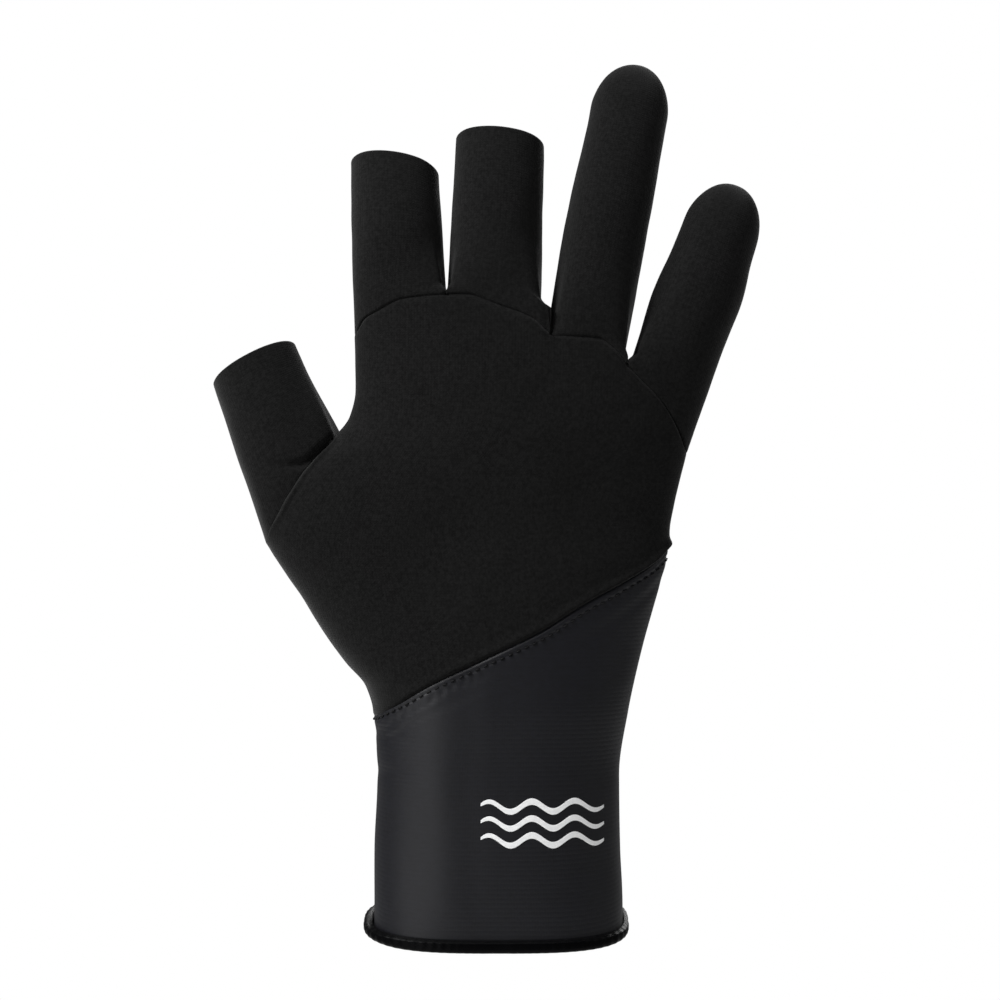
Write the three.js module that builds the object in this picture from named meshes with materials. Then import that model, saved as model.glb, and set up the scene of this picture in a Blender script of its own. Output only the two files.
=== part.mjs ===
// A right-hand fishing glove, standing as it is worn: fingers up (+Z), back of the hand towards -Y, thumb
// towards -X. Ring and little finger are closed; thumb, index and middle finger are cut off and open. The
// origin is the centre of the cuff's mouth. Lengths are in millimetres and angles in degrees.
import * as THREE from "three";

// Sheets, tape and seams
const sheet = 2.2; // chloroprene of the hand and finger sleeves
const cuffSheet = 1.2; // ribbed stretch fabric of the cuff
const tape = 1.3; // binding tape
const seamGap = 0.3; // between the edges of two pieces that are sewn together

// Heights
const cuffLength = 66.9; // mouth to the low, thumb-side end of the wrist seam
const wristSeamRise = 49.3; // how much higher that seam ends at the little finger's side
const handLength = 125.9; // low end of the wrist seam to the top of the finger seam

// Widths and depths
const palmWidth = 102.5; // across the knuckles
const palmDepth = 33; // through the middle of the palm
const wristWidth = 72.5;
const wristDepth = 47;

// Cuff mouth and its binding
const mouthDrop = 4; // how far the mouth hangs lower at the back of the hand than at its sides
const bindingHeight = 4.4;
const bindingFlare = 0.5; // how far the binding stands off the cuff at its widest
const foldRound = 0.9; // height of the binding's rounded lower edge

// Thumb hole
const thumbHoleLength = 33; // from the thumb's web down to the hole's lower end
const thumbHoleBack = 31; // angle that the hole reaches round the back of the hand
const thumbHolePalm = 50; // angle that it reaches round the palm
const thumbWebUp = 0.6635; // height of the thumb's web, as a share of handLength
const thumbHolePower = 0.85; // 1 for an elliptic hole, less for a squarer one

// Finger sleeves. length runs from the highest web beside the finger to its end, lean is sideways from +Z,
// bend is how far the end tips towards the palm, and slant is how far the open end's cut turns from square.
const fingerDepth = 24.5;
const sleeves = {
  thumb: { length: 29.4, endWidth: 27.8, endDepth: 25, lean: -20.6, bend: 15, slant: 2.8 },
  index: { length: 39.6, endWidth: 26.6, endDepth: 23, lean: -2.7, bend: 24, slant: -12.5 },
  middle: { length: 47.6, endWidth: 25.8, endDepth: 23, lean: 1.1, bend: 20, slant: -3.8 },
  ring: { length: 80.6, endWidth: 23.6, endDepth: 22, lean: 10.1, bend: 27, closed: true },
  little: { length: 63, endWidth: 23.8, endDepth: 22, lean: 19.7, bend: 24, closed: true },
};
const tipRoundness = 1.3; // length of a closed tip in half widths
const sleevePower = 0.93; // 1 for an elliptic sleeve, less for a squarer one
const thumbSet = 5; // how far the thumb lies towards the palm
const seamBlend = 0.75; // how far up a finger sleeve still has the seam's shape, as a share of fingerDepth
const webBlend = 0.25; // over how much height a sleeve turns away from a web, as a share of fingerDepth
const webHold = 0.7; // how much of a web's rise goes by before the sleeve starts to turn away
const webFocus = 4; // higher for a web that holds less of a sleeve than its very side

// Facets
const arcSteps = 6; // across one finger, on the back or on the palm
const wallSteps = 3; // across a finger's side wall at a web
const shiftUntil = 90; // turn up to which the panels' columns move aside for the thumb hole
const crowdAhead = 0.8; // how far they do so at its two ends, as a share of how far they do one row on
const levelUntil = 55; // turn up to which their rows run level beside it
const followFrom = 115; // turn from which they follow the seams
const halvings = 40; // steps of each search for a place on a seam
const webCorner = 40; // angle round a finger, from its side, where that wall meets the back or the palm
const sleeveRows = [0, 0.05, 0.1, 0.16, 0.23, 0.33, 0.48, 0.65, 0.82, 1]; // shares up to its end or tip
const tipSteps = 4;
const holeSteps = 5; // half as many rows as the panels have beside the thumb hole
const holeStretch = 10; // how many degrees of the hole's edge those rows are moved apart at its two ends
const rowsBelowHole = 6;
const rowsAboveHole = 3;
const cuffSteps = 6;

// Cross-sections up the cuff: up as a share of cuffLength, sides as shares of wristWidth, back and palm of
// wristDepth.
const cuffSections = [
  { up: 0, left: 0.518, right: 0.53, back: 0.53, palm: 0.53, square: 3 },
  { up: 0.1, left: 0.519, right: 0.531, back: 0.525, palm: 0.525, square: 2.9 },
  { up: 0.37, left: 0.516, right: 0.52, back: 0.51, palm: 0.51, square: 2.7 },
  { up: 0.7, left: 0.505, right: 0.515, back: 0.49, palm: 0.495, square: 2.6 },
  { up: 1, left: 0.523, right: 0.557, back: 0.475, palm: 0.485, square: 2.5 },
];
// Cross-sections up the hand: up as a share of handLength, sides as shares of palmWidth, back and palm of
// palmDepth. Beside the thumb and the little finger, left and right are the outline that the hand would
// have without them.
const handSections = [
  { up: 0.055, left: 0.391, right: 0.407, back: 0.655, palm: 0.675, square: 2.5 },
  { up: 0.11, left: 0.448, right: 0.422, back: 0.63, palm: 0.665, square: 2.45 },
  { up: 0.165, left: 0.499, right: 0.439, back: 0.6, palm: 0.655, square: 2.4 },
  { up: 0.274, left: 0.585, right: 0.477, back: 0.565, palm: 0.645, square: 2.4 },
  { up: 0.385, left: 0.676, right: 0.51, back: 0.535, palm: 0.63, square: 2.4 },
  { up: 0.441, left: 0.71, right: 0.515, back: 0.52, palm: 0.615, square: 2.4 },
  { up: 0.496, left: 0.698, right: 0.528, back: 0.51, palm: 0.6, square: 2.4 },
  { up: 0.552, left: 0.659, right: 0.544, back: 0.5, palm: 0.58, square: 2.4 },
  { up: 0.608, left: 0.585, right: 0.563, back: 0.49, palm: 0.55, square: 2.4 },
  { up: thumbWebUp, left: 0.482, right: 0.577, back: 0.48, palm: 0.53, square: 2.4 },
  { up: 0.711, left: 0.439, right: 0.59, back: 0.465, palm: 0.5, square: 2.4 },
  { up: 0.771, left: 0.423, right: 0.597, back: 0.45, palm: 0.47, square: 2.45 },
  { up: 1, left: 0.426, right: 0.603, back: 0.405, palm: 0.405, square: 2.55 },
];
// The wrist seam: across as a share of the way between its ends, up as a share of wristSeamRise.
const wristSeamRows = [
  { across: 0, up: -0.045 },
  { across: 0.08, up: 0.035 },
  { across: 0.2, up: 0.165 },
  { across: 0.44, up: 0.381 },
  { across: 0.575, up: 0.501 },
  { across: 0.708, up: 0.653 },
  { across: 0.846, up: 0.787 },
  { across: 0.947, up: 0.9 },
  { across: 1, up: 1 },
];
// The finger seam: across from the origin as a share of palmWidth, drop below its top as a share of
// handLength.
const fingerSeamRows = [
  { across: -0.425, drop: 0.095 },
  { across: -0.396, drop: 0.058 },
  { across: -0.359, drop: 0.04 },
  { across: -0.274, drop: 0.0095 },
  { across: -0.094, drop: 0 },
  { across: 0.003, drop: 0.026 },
  { across: 0.1, drop: 0.057 },
  { across: 0.165, drop: 0.0975 },
  { across: 0.2995, drop: 0.107 },
  { across: 0.3385, drop: 0.127 },
  { across: 0.404, drop: 0.188 },
  { across: 0.495, drop: 0.266 },
  { across: 0.548, drop: 0.341 },
  { across: 0.566, drop: 0.379 },
];
// The webs between two fingers: across is the place on the finger seam as a share of palmWidth. Up to rise
// above the seam, the two sleeves lie against each other, and there they part by width; aside is how far
// the parting lies to the right of across. All three are shares of fingerDepth.
const webs = [
  { across: -0.15, rise: 0.04, width: 0.03, aside: 0 },
  { across: 0.16, rise: 0.32, width: 0.15, aside: -0.06 },
  { across: 0.392, rise: 0.06, width: 0.04, aside: 0 },
];
// Mounds (+) and hollows (-) of the hand: across and wide as shares of palmWidth, up and tall of
// handLength, high of palmDepth.
const handRelief = [
  { side: "back", across: 0.02, up: 0.78, wide: 0.3, tall: 0.16, high: 0.03 },
  { side: "back", across: -0.22, up: 0.36, wide: 0.16, tall: 0.12, high: -0.05 },
  { side: "back", across: 0.3, up: 0.5, wide: 0.14, tall: 0.2, high: -0.03 },
  { side: "palm", across: 0.02, up: 0.6, wide: 0.16, tall: 0.22, high: -0.13 },
  { side: "palm", across: -0.36, up: 0.42, wide: 0.16, tall: 0.2, high: 0.1 },
  { side: "palm", across: 0.34, up: 0.4, wide: 0.12, tall: 0.24, high: 0.07 },
];
// Folds (+) and swellings (-) of a sleeve: round is the angle about the sleeve from its right side over the
// back, along is a share of its length, and deep is a share of fingerDepth.
const sleeveFolds = {
  thumb: [
    { round: 38, along: 0.16, wide: 24, tall: 0.1, deep: 0.07 },
    { round: 70, along: 0.08, wide: 20, tall: 0.08, deep: 0.045 },
  ],
  index: [{ round: 30, along: 0.05, wide: 26, tall: 0.1, deep: 0.03 }],
  middle: [{ round: 28, along: 0.05, wide: 22, tall: 0.1, deep: 0.04 }],
  ring: [
    { round: 152, along: 0.04, wide: 22, tall: 0.06, deep: 0.03 },
    { round: 180, along: 0.42, wide: 70, tall: 0.38, deep: -0.07 },
  ],
  little: [
    { round: 150, along: 0.05, wide: 24, tall: 0.07, deep: 0.035 },
    { round: 180, along: 0.2, wide: 60, tall: 0.3, deep: -0.045 },
    { round: 0, along: 0.45, wide: 60, tall: 0.25, deep: -0.045 },
  ],
};

const halfGap = seamGap / 2;
const handTop = cuffLength + handLength;
const radians = (degrees) => (degrees * Math.PI) / 180;
const mix = (a, b, share) => a + (b - a) * share;
const clamp = (value, low, high) => Math.min(high, Math.max(low, value));
const easeInOut = (share) => share * share * (3 - 2 * share);
const shares = (steps) => Array.from({ length: steps + 1 }, (_, i) => i / steps);

/** A smooth curve through the rows of a table that never overshoots them, straight on past both ends. */
function curveThrough(rows, from, to) {
  const x = rows.map((row) => row[from]);
  const y = rows.map((row) => row[to]);
  const last = rows.length - 1;
  const slope = x.slice(1).map((value, i) => (y[i + 1] - y[i]) / (value - x[i]));
  const tangent = x.map((_, i) => {
    if (i === 0) return slope[0];
    if (i === last) return slope[last - 1];
    const [a, b] = [slope[i - 1], slope[i]];
    return a * b > 0 ? (2 * a * b) / (a + b) : 0;
  });
  return (at) => {
    if (at <= x[0]) return y[0] + tangent[0] * (at - x[0]);
    if (at >= x[last]) return y[last] + tangent[last] * (at - x[last]);
    const i = x.findIndex((value) => value > at) - 1;
    const step = x[i + 1] - x[i];
    const s = (at - x[i]) / step;
    const bend = s * (1 - s) * (1 - s) * tangent[i] - s * s * (1 - s) * tangent[i + 1];
    return mix(y[i], y[i + 1], easeInOut(s)) + step * bend;
  };
}

const stations = [
  ...cuffSections.map((row) => ({
    height: row.up * cuffLength,
    left: -row.left * wristWidth,
    right: row.right * wristWidth,
    back: row.back * wristDepth,
    palm: row.palm * wristDepth,
    square: row.square,
  })),
  ...handSections.map((row) => ({
    height: cuffLength + row.up * handLength,
    left: -row.left * palmWidth,
    right: row.right * palmWidth,
    back: row.back * palmDepth,
    palm: row.palm * palmDepth,
    square: row.square,
  })),
];
const outline = Object.fromEntries(
  ["left", "right", "back", "palm", "square"].map((side) => [side, curveThrough(stations, "height", side)]),
);

/** How far the hand's relief lifts one of its sides at a place. */
function relief(side, x, z) {
  return handRelief
    .filter((mound) => mound.side === side)
    .reduce((sum, mound) => {
      const across = (x - mound.across * palmWidth) / (mound.wide * palmWidth);
      const up = (z - cuffLength - mound.up * handLength) / (mound.tall * handLength);
      return sum + mound.high * palmDepth * Math.exp(-across * across - up * up);
    }, 0);
}

/**
 * A point of the hand's and cuff's outer surface: a superellipse across each height. turn runs from 0 at
 * the thumb's side to 180 at the little finger's, over the back or over the palm.
 */
function handPoint(z, turn, side) {
  const power = 2 / outline.square(z);
  const cosine = Math.cos(radians(turn));
  const across = -Math.sign(cosine) * Math.abs(cosine) ** power;
  const middle = (outline.left(z) + outline.right(z)) / 2;
  const x = middle + (across * (outline.right(z) - outline.left(z))) / 2;
  const share = Math.max(0, Math.sin(radians(turn))) ** power;
  const y = share * (outline[side](z) + relief(side, x, z));
  return new THREE.Vector3(x, side === "back" ? -y : y, z);
}

/** The level direction from the outer surface towards the inside of the hand. */
function inwardAt(z, turn, side) {
  const step = 1;
  const [a, b] = [turn - step, turn + step].map((t) => handPoint(z, clamp(t, 0, 180), side));
  const sign = side === "back" ? 1 : -1;
  return new THREE.Vector3(sign * (a.y - b.y), sign * (b.x - a.x), 0).normalize();
}

/** A point that lies a depth inside the outer surface. */
function pointWithin(z, turn, side, depth) {
  return handPoint(z, turn, side).addScaledVector(inwardAt(z, turn, side), depth);
}

const wristSeamShare = curveThrough(wristSeamRows, "across", "up");
const fingerSeamDrop = curveThrough(fingerSeamRows, "across", "drop");

/** Height of the wrist seam above the mouth, at a place across the hand. */
function wristSeam(x) {
  const start = outline.left(cuffLength);
  const end = outline.right(cuffLength + wristSeamRise);
  return cuffLength + wristSeamRise * wristSeamShare((x - start) / (end - start));
}

/** Height of the finger seam. */
function fingerSeam(x) {
  return handTop - handLength * fingerSeamDrop(x / palmWidth);
}

/**
 * The height at which a line up the hand, at one turn, meets a seam that is given by its height across the
 * hand.
 */
function heightWhereMet(seam, turn, low, high) {
  let [below, above] = [low, high];
  for (let i = 0; i < halvings; i++) {
    const z = (below + above) / 2;
    if (z < seam(handPoint(z, turn, "back").x)) below = z;
    else above = z;
  }
  return (below + above) / 2;
}
const wristSeamAt = (turn) => heightWhereMet(wristSeam, turn, 0, handTop);
const fingerSeamAt = (turn) => heightWhereMet(fingerSeam, turn, cuffLength, handTop + 1);

/** The turn at which the finger seam passes a place across the hand. */
function turnAcross(x) {
  let [low, high] = [0, 180];
  for (let i = 0; i < halvings; i++) {
    const turn = (low + high) / 2;
    if (handPoint(fingerSeamAt(turn), turn, "back").x < x) low = turn;
    else high = turn;
  }
  return (low + high) / 2;
}

const webTurns = [0, ...webs.map(({ across }) => turnAcross(across * palmWidth)), 180];
const handTurns = webTurns
  .slice(1)
  .flatMap((end, i) => shares(arcSteps).map((share) => mix(webTurns[i], end, share)))
  .filter((turn, i, all) => i === 0 || turn - all[i - 1] > 1e-6);

/** How steeply a seam climbs per length along the hand's surface, at one turn. */
function seamSlope(seamAt, turn) {
  const step = 0.5;
  const places = [turn - step, turn + step].map((t) => clamp(t, 0, 180));
  const [a, b] = places.map((t) => handPoint(seamAt(t), t, "back"));
  return (b.z - a.z) / Math.hypot(b.x - a.x, b.y - a.y);
}
/** Half the seam gap, measured straight up where the seam climbs. */
const halfGapUp = (seamAt, turn) => halfGap * Math.hypot(1, seamSlope(seamAt, turn));

// Thumb hole: an oval slit in the hand's thumb side, from its web down.
const thumbWebHeight = cuffLength + thumbWebUp * handLength;
const holeMiddle = thumbWebHeight - thumbHoleLength / 2;
const holeReach = { back: thumbHoleBack, palm: thumbHolePalm };
/**
 * The turn of the hole's edge where the angle about the hole is round, for an edge moved outwards by grow.
 */
function holeEdge(round, side, grow) {
  // Even steps of round are wider apart at the hole's two ends, where its edge runs across the rows.
  const angle = radians(round + holeStretch * Math.sin(radians(2 * round)));
  const z = holeMiddle + (thumbHoleLength / 2 + grow) * Math.cos(angle);
  const away = Math.abs(Math.sin(angle)) ** thumbHolePower;
  // At the hand's edge a turn passes about half the surface that it would on a circle of the palm's depth.
  const growTurn = (2 * grow * 180) / (Math.PI * palmDepth);
  return { z, turn: (holeReach[side] + growTurn) * away };
}

/** Joins rows of points into one closed surface, with the faces turned outwards. */
function skin(rows, { loopRows = false, capEnds = false } = {}) {
  const width = rows[0].length;
  const faces = [];
  const quad = (a, b, c, d) => faces.push([a, b, c], [a, c, d]);
  const ends = loopRows ? rows.length : rows.length - 1;
  for (let j = 0; j < ends; j++) {
    const next = (j + 1) % rows.length;
    for (let i = 0; i < width; i++) {
      const k = (i + 1) % width;
      quad(j * width + i, j * width + k, next * width + k, next * width + i);
    }
  }
  // A capped row runs out along its outer half and back along its inner half.
  for (let i = 0; capEnds && i < width / 2 - 1; i++) {
    const [k, m] = [width - 1 - i, width - 2 - i];
    const top = (rows.length - 1) * width;
    quad(k, m, i + 1, i);
    quad(top + i, top + i + 1, top + m, top + k);
  }
  const points = rows.flat();
  const same = (a, b) => points[a].distanceToSquared(points[b]) < 1e-10;
  const kept = faces.filter(([a, b, c]) => !same(a, b) && !same(b, c) && !same(c, a));
  const volume = kept.reduce(
    (sum, [a, b, c]) => sum + points[a].dot(new THREE.Vector3().crossVectors(points[b], points[c])),
    0,
  );
  const outward = volume > 0 ? kept : kept.map(([a, b, c]) => [a, c, b]);
  const geometry = new THREE.BufferGeometry().setFromPoints(points);
  geometry.setIndex(outward.flat());
  geometry.computeVertexNormals();
  return geometry;
}

/**
 * Moves a closed row of points, which runs from right to left over the back, inwards by a wall, mitred at
 * corners.
 */
function insetRow(row, wall) {
  const sideNormal = (from, to) => new THREE.Vector3(from.y - to.y, to.x - from.x, 0).normalize();
  return row.map((point, i) => {
    const before = sideNormal(row[(i + row.length - 1) % row.length], point);
    const after = sideNormal(point, row[(i + 1) % row.length]);
    const mitre = before.clone().add(after).divideScalar(1 + before.dot(after));
    return point.clone().addScaledVector(mitre, -wall);
  });
}

/**
 * A cut sheet over one side of the hand, from the wrist seam to the finger seam and round the thumb hole.
 */
function panel(side) {
  const sign = side === "back" ? -1 : 1;
  const span = (turn) => {
    const bottom = wristSeamAt(turn) + halfGapUp(wristSeamAt, turn);
    return [bottom, fingerSeamAt(turn) - halfGapUp(fingerSeamAt, turn)];
  };
  const [low, high] = span(0);
  const beside = shares(2 * holeSteps).map((share) => holeEdge(180 * (1 - share), side, halfGap));
  // The columns next to the side move aside for the hole a little before a row reaches it.
  const ahead = crowdAhead * beside[1].turn;
  const holeRows = beside.map((place) => ({ ...place, level: 1, aside: Math.max(ahead, place.turn) }));
  const [first, last] = [holeRows[0].z, holeRows.at(-1).z];
  const rowAt = (z, level) => ({ z, turn: 0, level, aside: ahead * level ** 3 });
  const lower = shares(rowsBelowHole).map((share) => rowAt(mix(low, first, share), share));
  const upper = shares(rowsAboveHole).map((share) => rowAt(mix(last, high, share), 1 - share));
  const edge = [...lower.slice(0, -1), ...holeRows, ...upper.slice(1)];
  const rows = edge.map(({ z: edgeHeight, turn: start, level, aside }) => {
    const up = (edgeHeight - low) / (high - low);
    const at = (depth) =>
      handTurns.map((step) => {
        // A row starts out level at the hole, and further round it follows the seams.
        const turn = step > 0 ? step + aside * Math.max(0, 1 - step / shiftUntil) : start;
        const past = clamp((turn - levelUntil) / (followFrom - levelUntil), 0, 1);
        const follow = mix(1, easeInOut(past), level);
        const z = edgeHeight + (mix(...span(turn), up) - mix(...span(0), up)) * follow;
        const point = pointWithin(z, turn, side, depth);
        return point.setY(point.y + sign * halfGap);
      });
    return [...at(0), ...at(sheet).reverse()];
  });
  return skin(rows, { capEnds: true });
}

/** The directions of a sleeve: along its axis at the web, across it in the picture plane. */
function sleeveAxes(lean) {
  const angle = radians(lean);
  return {
    along: new THREE.Vector3(Math.sin(angle), 0, Math.cos(angle)),
    across: new THREE.Vector3(Math.cos(angle), 0, -Math.sin(angle)),
  };
}

/** A finger's edge on the finger seam: outer and inner points, with their angles round the sleeve. */
function fingerBase(leftTurn, rightTurn) {
  const corner = { left: leftTurn > 0 ? webCorner : 0, right: rightTurn < 180 ? webCorner : 0 };
  const seamPoint = (turn, side) => {
    const z = fingerSeamAt(turn) + halfGapUp(fingerSeamAt, turn);
    const point = handPoint(z, turn, side);
    if (turn === rightTurn && corner.right) point.x -= halfGap;
    if (turn === leftTurn && corner.left) point.x += halfGap;
    return { point, panelEdge: point.x + sheet * inwardAt(z, turn, side).x };
  };
  const arc = (side) =>
    shares(arcSteps).map((share) => ({
      angle: mix(corner.right, 180 - corner.left, share) * (side === "back" ? 1 : -1),
      ...seamPoint(mix(rightTurn, leftTurn, share), side),
    }));
  const [back, palm] = [arc("back"), arc("palm")];
  const wall = (from, to) =>
    shares(wallSteps)
      .slice(1, -1)
      .map((share) => ({
        angle: mix(from.angle, to.angle, share),
        point: from.point.clone().lerp(to.point, share),
        panelEdge: from.point.x,
      }));
  const leftWall = corner.left
    ? wall(back.at(-1), { angle: 180 + corner.left, point: palm.at(-1).point })
    : [];
  const rightWall = corner.right ? wall(palm[0], back[0]) : [];
  const palmBack = palm.slice(corner.right ? 0 : 1, corner.left ? undefined : -1).reverse();
  const ring = [...back, ...leftWall, ...palmBack, ...rightWall];
  const inset = insetRow(ring.map(({ point }) => point), sheet);
  // The inner edge stays as far from the panels' inner edge as the outer one does.
  return ring.map(({ angle, point, panelEdge }, i) => {
    const inner = inset[i].setZ(point.z + fingerSeam(inset[i].x) - fingerSeam(panelEdge));
    return { angle, outer: point, inner };
  });
}

/** The thumb's edge in its hole. inward turns the wall's depth so that it stays within the hole. */
function thumbBase() {
  const undercut = 0.2; // slope of the wall's cut edge, away from the panels' cut edge
  const side = (name, sign) =>
    shares(2 * holeSteps).map((share) => {
      const { z, turn } = holeEdge(180 * share, name, -halfGap);
      const outer = handPoint(z, turn, name);
      const inwardOfHand = inwardAt(z, turn, name);
      const away = outer.clone().sub(handPoint(holeMiddle, 0, name));
      away.addScaledVector(inwardOfHand, -away.dot(inwardOfHand)).normalize();
      const inward = (normal) => {
        const within = normal.clone().lerp(inwardOfHand, Math.max(0, normal.dot(inwardOfHand)));
        return within.addScaledVector(away, -Math.max(0, within.dot(away)) - undercut).normalize();
      };
      return { angle: 180 * share * sign, outer, inward };
    });
  return [...side("back", 1), ...side("palm", -1).slice(1, -1).reverse()];
}

/**
 * A finger sleeve: superellipse rings along a leaning, bending axis. Its first rings are pulled onto the
 * seam's edge, and the pull fades along the sleeve. left and right are its sides: a point, and how high it
 * is held to a web there.
 */
function sleeve(name, base, left, right) {
  const size = sleeves[name];
  const { along, across } = sleeveAxes(size.lean);
  const [leftSide, rightSide] = [left.anchor.dot(across), right.anchor.dot(across)];
  const start = across
    .clone()
    .multiplyScalar((leftSide + rightSide) / 2)
    .addScaledVector(along, Math.max(left.anchor.dot(along), right.anchor.dot(along)));
  start.y = name === "thumb" ? thumbSet : 0;
  const baseWidth = rightSide - leftSide;
  const capLength = size.closed ? (tipRoundness * size.endWidth) / 2 : 0;
  const shaft = size.length - capLength;
  const pullLength = name === "thumb" ? shaft : Math.min(shaft, seamBlend * fingerDepth);
  const folds = sleeveFolds[name];

  /** The sleeve's axis: its place and direction at a length from the web. */
  function axisAt(length) {
    const reach = shaft + capLength;
    const share = length / reach;
    const angle = radians(size.bend) * share;
    const out = (radians(size.bend) * share * length) / 2;
    const direction = along.clone().multiplyScalar(Math.cos(angle)).setY(Math.sin(angle));
    return { place: start.clone().addScaledVector(along, length).setY(start.y + out), direction };
  }

  /** One ring of the outer surface, drawn in by shrink towards the axis. */
  function ring(length, shrink = 1) {
    const share = clamp(length / shaft, 0, 1);
    const { place, direction } = axisAt(length);
    const deep = new THREE.Vector3().crossVectors(across, direction);
    const wide = mix(baseWidth, size.endWidth, share) / 2;
    const thick = mix(fingerDepth, size.endDepth, share) / 2;
    return base.map(({ angle }) => {
      const [c, s] = [Math.cos(radians(angle)), Math.sin(radians(angle))];
      const folded = folds.reduce((sum, fold) => {
        const round = (((angle - fold.round + 540) % 360) - 180) / fold.wide;
        const up = (length / shaft - fold.along) / fold.tall;
        return sum + fold.deep * fingerDepth * Math.exp(-round * round - up * up);
      }, 0);
      const x = Math.sign(c) * Math.abs(c) ** sleevePower * (wide - folded) * shrink;
      const y = Math.sign(s) * Math.abs(s) ** sleevePower * (thick - folded) * shrink;
      const cut = size.closed ? 0 : x * Math.tan(radians(size.slant)) * share;
      const sideways = across.clone().multiplyScalar(x).addScaledVector(deep, y);
      return place.clone().add(sideways).addScaledVector(direction, cut);
    });
  }

  const first = ring(0);
  const pull = base.map(({ outer }, i) => {
    const whole = outer.clone().sub(first[i]);
    const lengthwise = along.clone().multiplyScalar(whole.dot(along));
    return { lengthwise, crosswise: whole.sub(lengthwise) };
  });
  const rings = sleeveRows.map((share) => {
    const length = share * shaft;
    const fade = 1 - easeInOut(clamp(length / pullLength, 0, 1));
    return ring(length).map((point, i) => {
      // Beside a web the wall goes straight up to the web's top, and then turns away within a short way.
      const toSide = Math.cos(radians(base[i].angle));
      const { held } = toSide > 0 ? right : left;
      const beside = held ? toSide ** webFocus : 0;
      const parting = mix(pullLength, webBlend * fingerDepth, beside);
      const apart = 1 - easeInOut(clamp((length - webHold * held * beside) / parting, 0, 1));
      return point.addScaledVector(pull[i].lengthwise, fade).addScaledVector(pull[i].crosswise, apart);
    });
  });
  const cap = shares(tipSteps)
    .slice(1, -1)
    .map((step) => {
      const angle = radians(90 * step);
      return ring(shaft + capLength * Math.sin(angle), Math.cos(angle));
    });
  const outer = size.closed ? [...rings, ...cap] : rings;
  const inner = inwardRings(outer, base);
  if (!size.closed) return skin([...outer, ...inner.reverse()], { loopRows: true });
  const tip = axisAt(shaft + capLength);
  const innerTip = tip.place.clone().addScaledVector(tip.direction, -sheet);
  const point = (at) => base.map(() => at.clone());
  return skin([point(innerTip), ...inner.reverse(), ...outer, point(tip.place)]);
}

/**
 * The inner surface of a sleeve: its outer rings moved in by the sheet. The first ring follows the seam's
 * wall.
 */
function inwardRings(rings, base) {
  return rings.map((row, j) => {
    const [before, after] = [rings[Math.max(j - 1, 0)], rings[Math.min(j + 1, rings.length - 1)]];
    return row.map((point, i) => {
      const count = row.length;
      const round = row[(i + 1) % count].clone().sub(row[(i + count - 1) % count]);
      const along = after[i].clone().sub(before[i]);
      const normal = new THREE.Vector3().crossVectors(round, along).normalize();
      if (j > 0) return point.clone().addScaledVector(normal, sheet);
      const { inner, inward } = base[i];
      return inner ?? point.clone().addScaledVector(inward(normal), sheet);
    });
  });
}

/** A whole row round the cuff, at a height for each turn and a depth inside its outer surface. */
function rowRound(heightAt, depth) {
  const half = (side) => handTurns.map((turn) => pointWithin(heightAt(turn, side), turn, side, depth));
  return [...half("back"), ...half("palm").slice(1, -1).reverse()];
}

/** Height of the mouth's edge: lower over the back of the hand, higher over the palm. */
function mouthHeight(turn, side) {
  const share = Math.sin(radians(turn)) ** (2 / cuffSections[0].square);
  return mouthDrop * share * (side === "back" ? -1 : 1);
}

/** The cuff: a thin tube from inside the binding up to the wrist seam. */
function cuff() {
  const foot = tape + seamGap; // the cuff's edge stands in the binding's fold
  const surface = (depth) => [
    rowRound((turn, side) => mouthHeight(turn, side) + foot, depth),
    ...shares(cuffSteps).map((step) => {
      const top = (turn) => wristSeamAt(turn) - halfGapUp(wristSeamAt, turn);
      return rowRound((turn, side) => mix(mouthHeight(turn, side) + bindingHeight, top(turn), step), depth);
    }),
  ];
  return skin([...surface(0), ...surface(cuffSheet).reverse()], { loopRows: true });
}

/** The binding: tape folded up round the cuff's edge, outside and inside. */
function cuffBinding() {
  const half = cuffSheet / 2 + seamGap;
  const top = bindingHeight;
  // Section from the outer leg's inside top, out and down round the fold, to the inner leg and back up the
  // slot. out is measured from the middle of the cuff's sheet, up from the mouth's edge.
  const bulge = half + tape + bindingFlare;
  const section = [
    { out: half, up: top },
    { out: half + tape, up: top },
    { out: bulge, up: top / 2 },
    { out: half + tape, up: foldRound },
    { out: half, up: 0 },
    { out: -half, up: 0 },
    { out: -half - tape, up: foldRound },
    { out: -half - tape, up: top },
    { out: -half, up: top },
    { out: -half, up: tape },
    { out: half, up: tape },
  ];
  const rows = section.map(({ out, up }) =>
    rowRound((turn, side) => mouthHeight(turn, side) + up, cuffSheet / 2 - out),
  );
  return skin(rows, { loopRows: true });
}

// Materials
const materials = {
  chloroprene: new THREE.MeshStandardMaterial({ color: 0x1c1c1d, roughness: 0.92, metalness: 0 }),
  cuffFabric: new THREE.MeshStandardMaterial({ color: 0x27272b, roughness: 0.6, metalness: 0 }),
  bindingTape: new THREE.MeshStandardMaterial({ color: 0x121214, roughness: 0.85, metalness: 0 }),
};

const glove = new THREE.Group();
glove.name = "fishing_glove";
/** Adds one piece to the glove. */
function addPiece(name, geometry, material) {
  const piece = new THREE.Mesh(geometry, material);
  piece.name = name;
  glove.add(piece);
}

addPiece("back_panel", panel("back"), materials.chloroprene);
addPiece("palm_panel", panel("palm"), materials.chloroprene);

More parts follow.
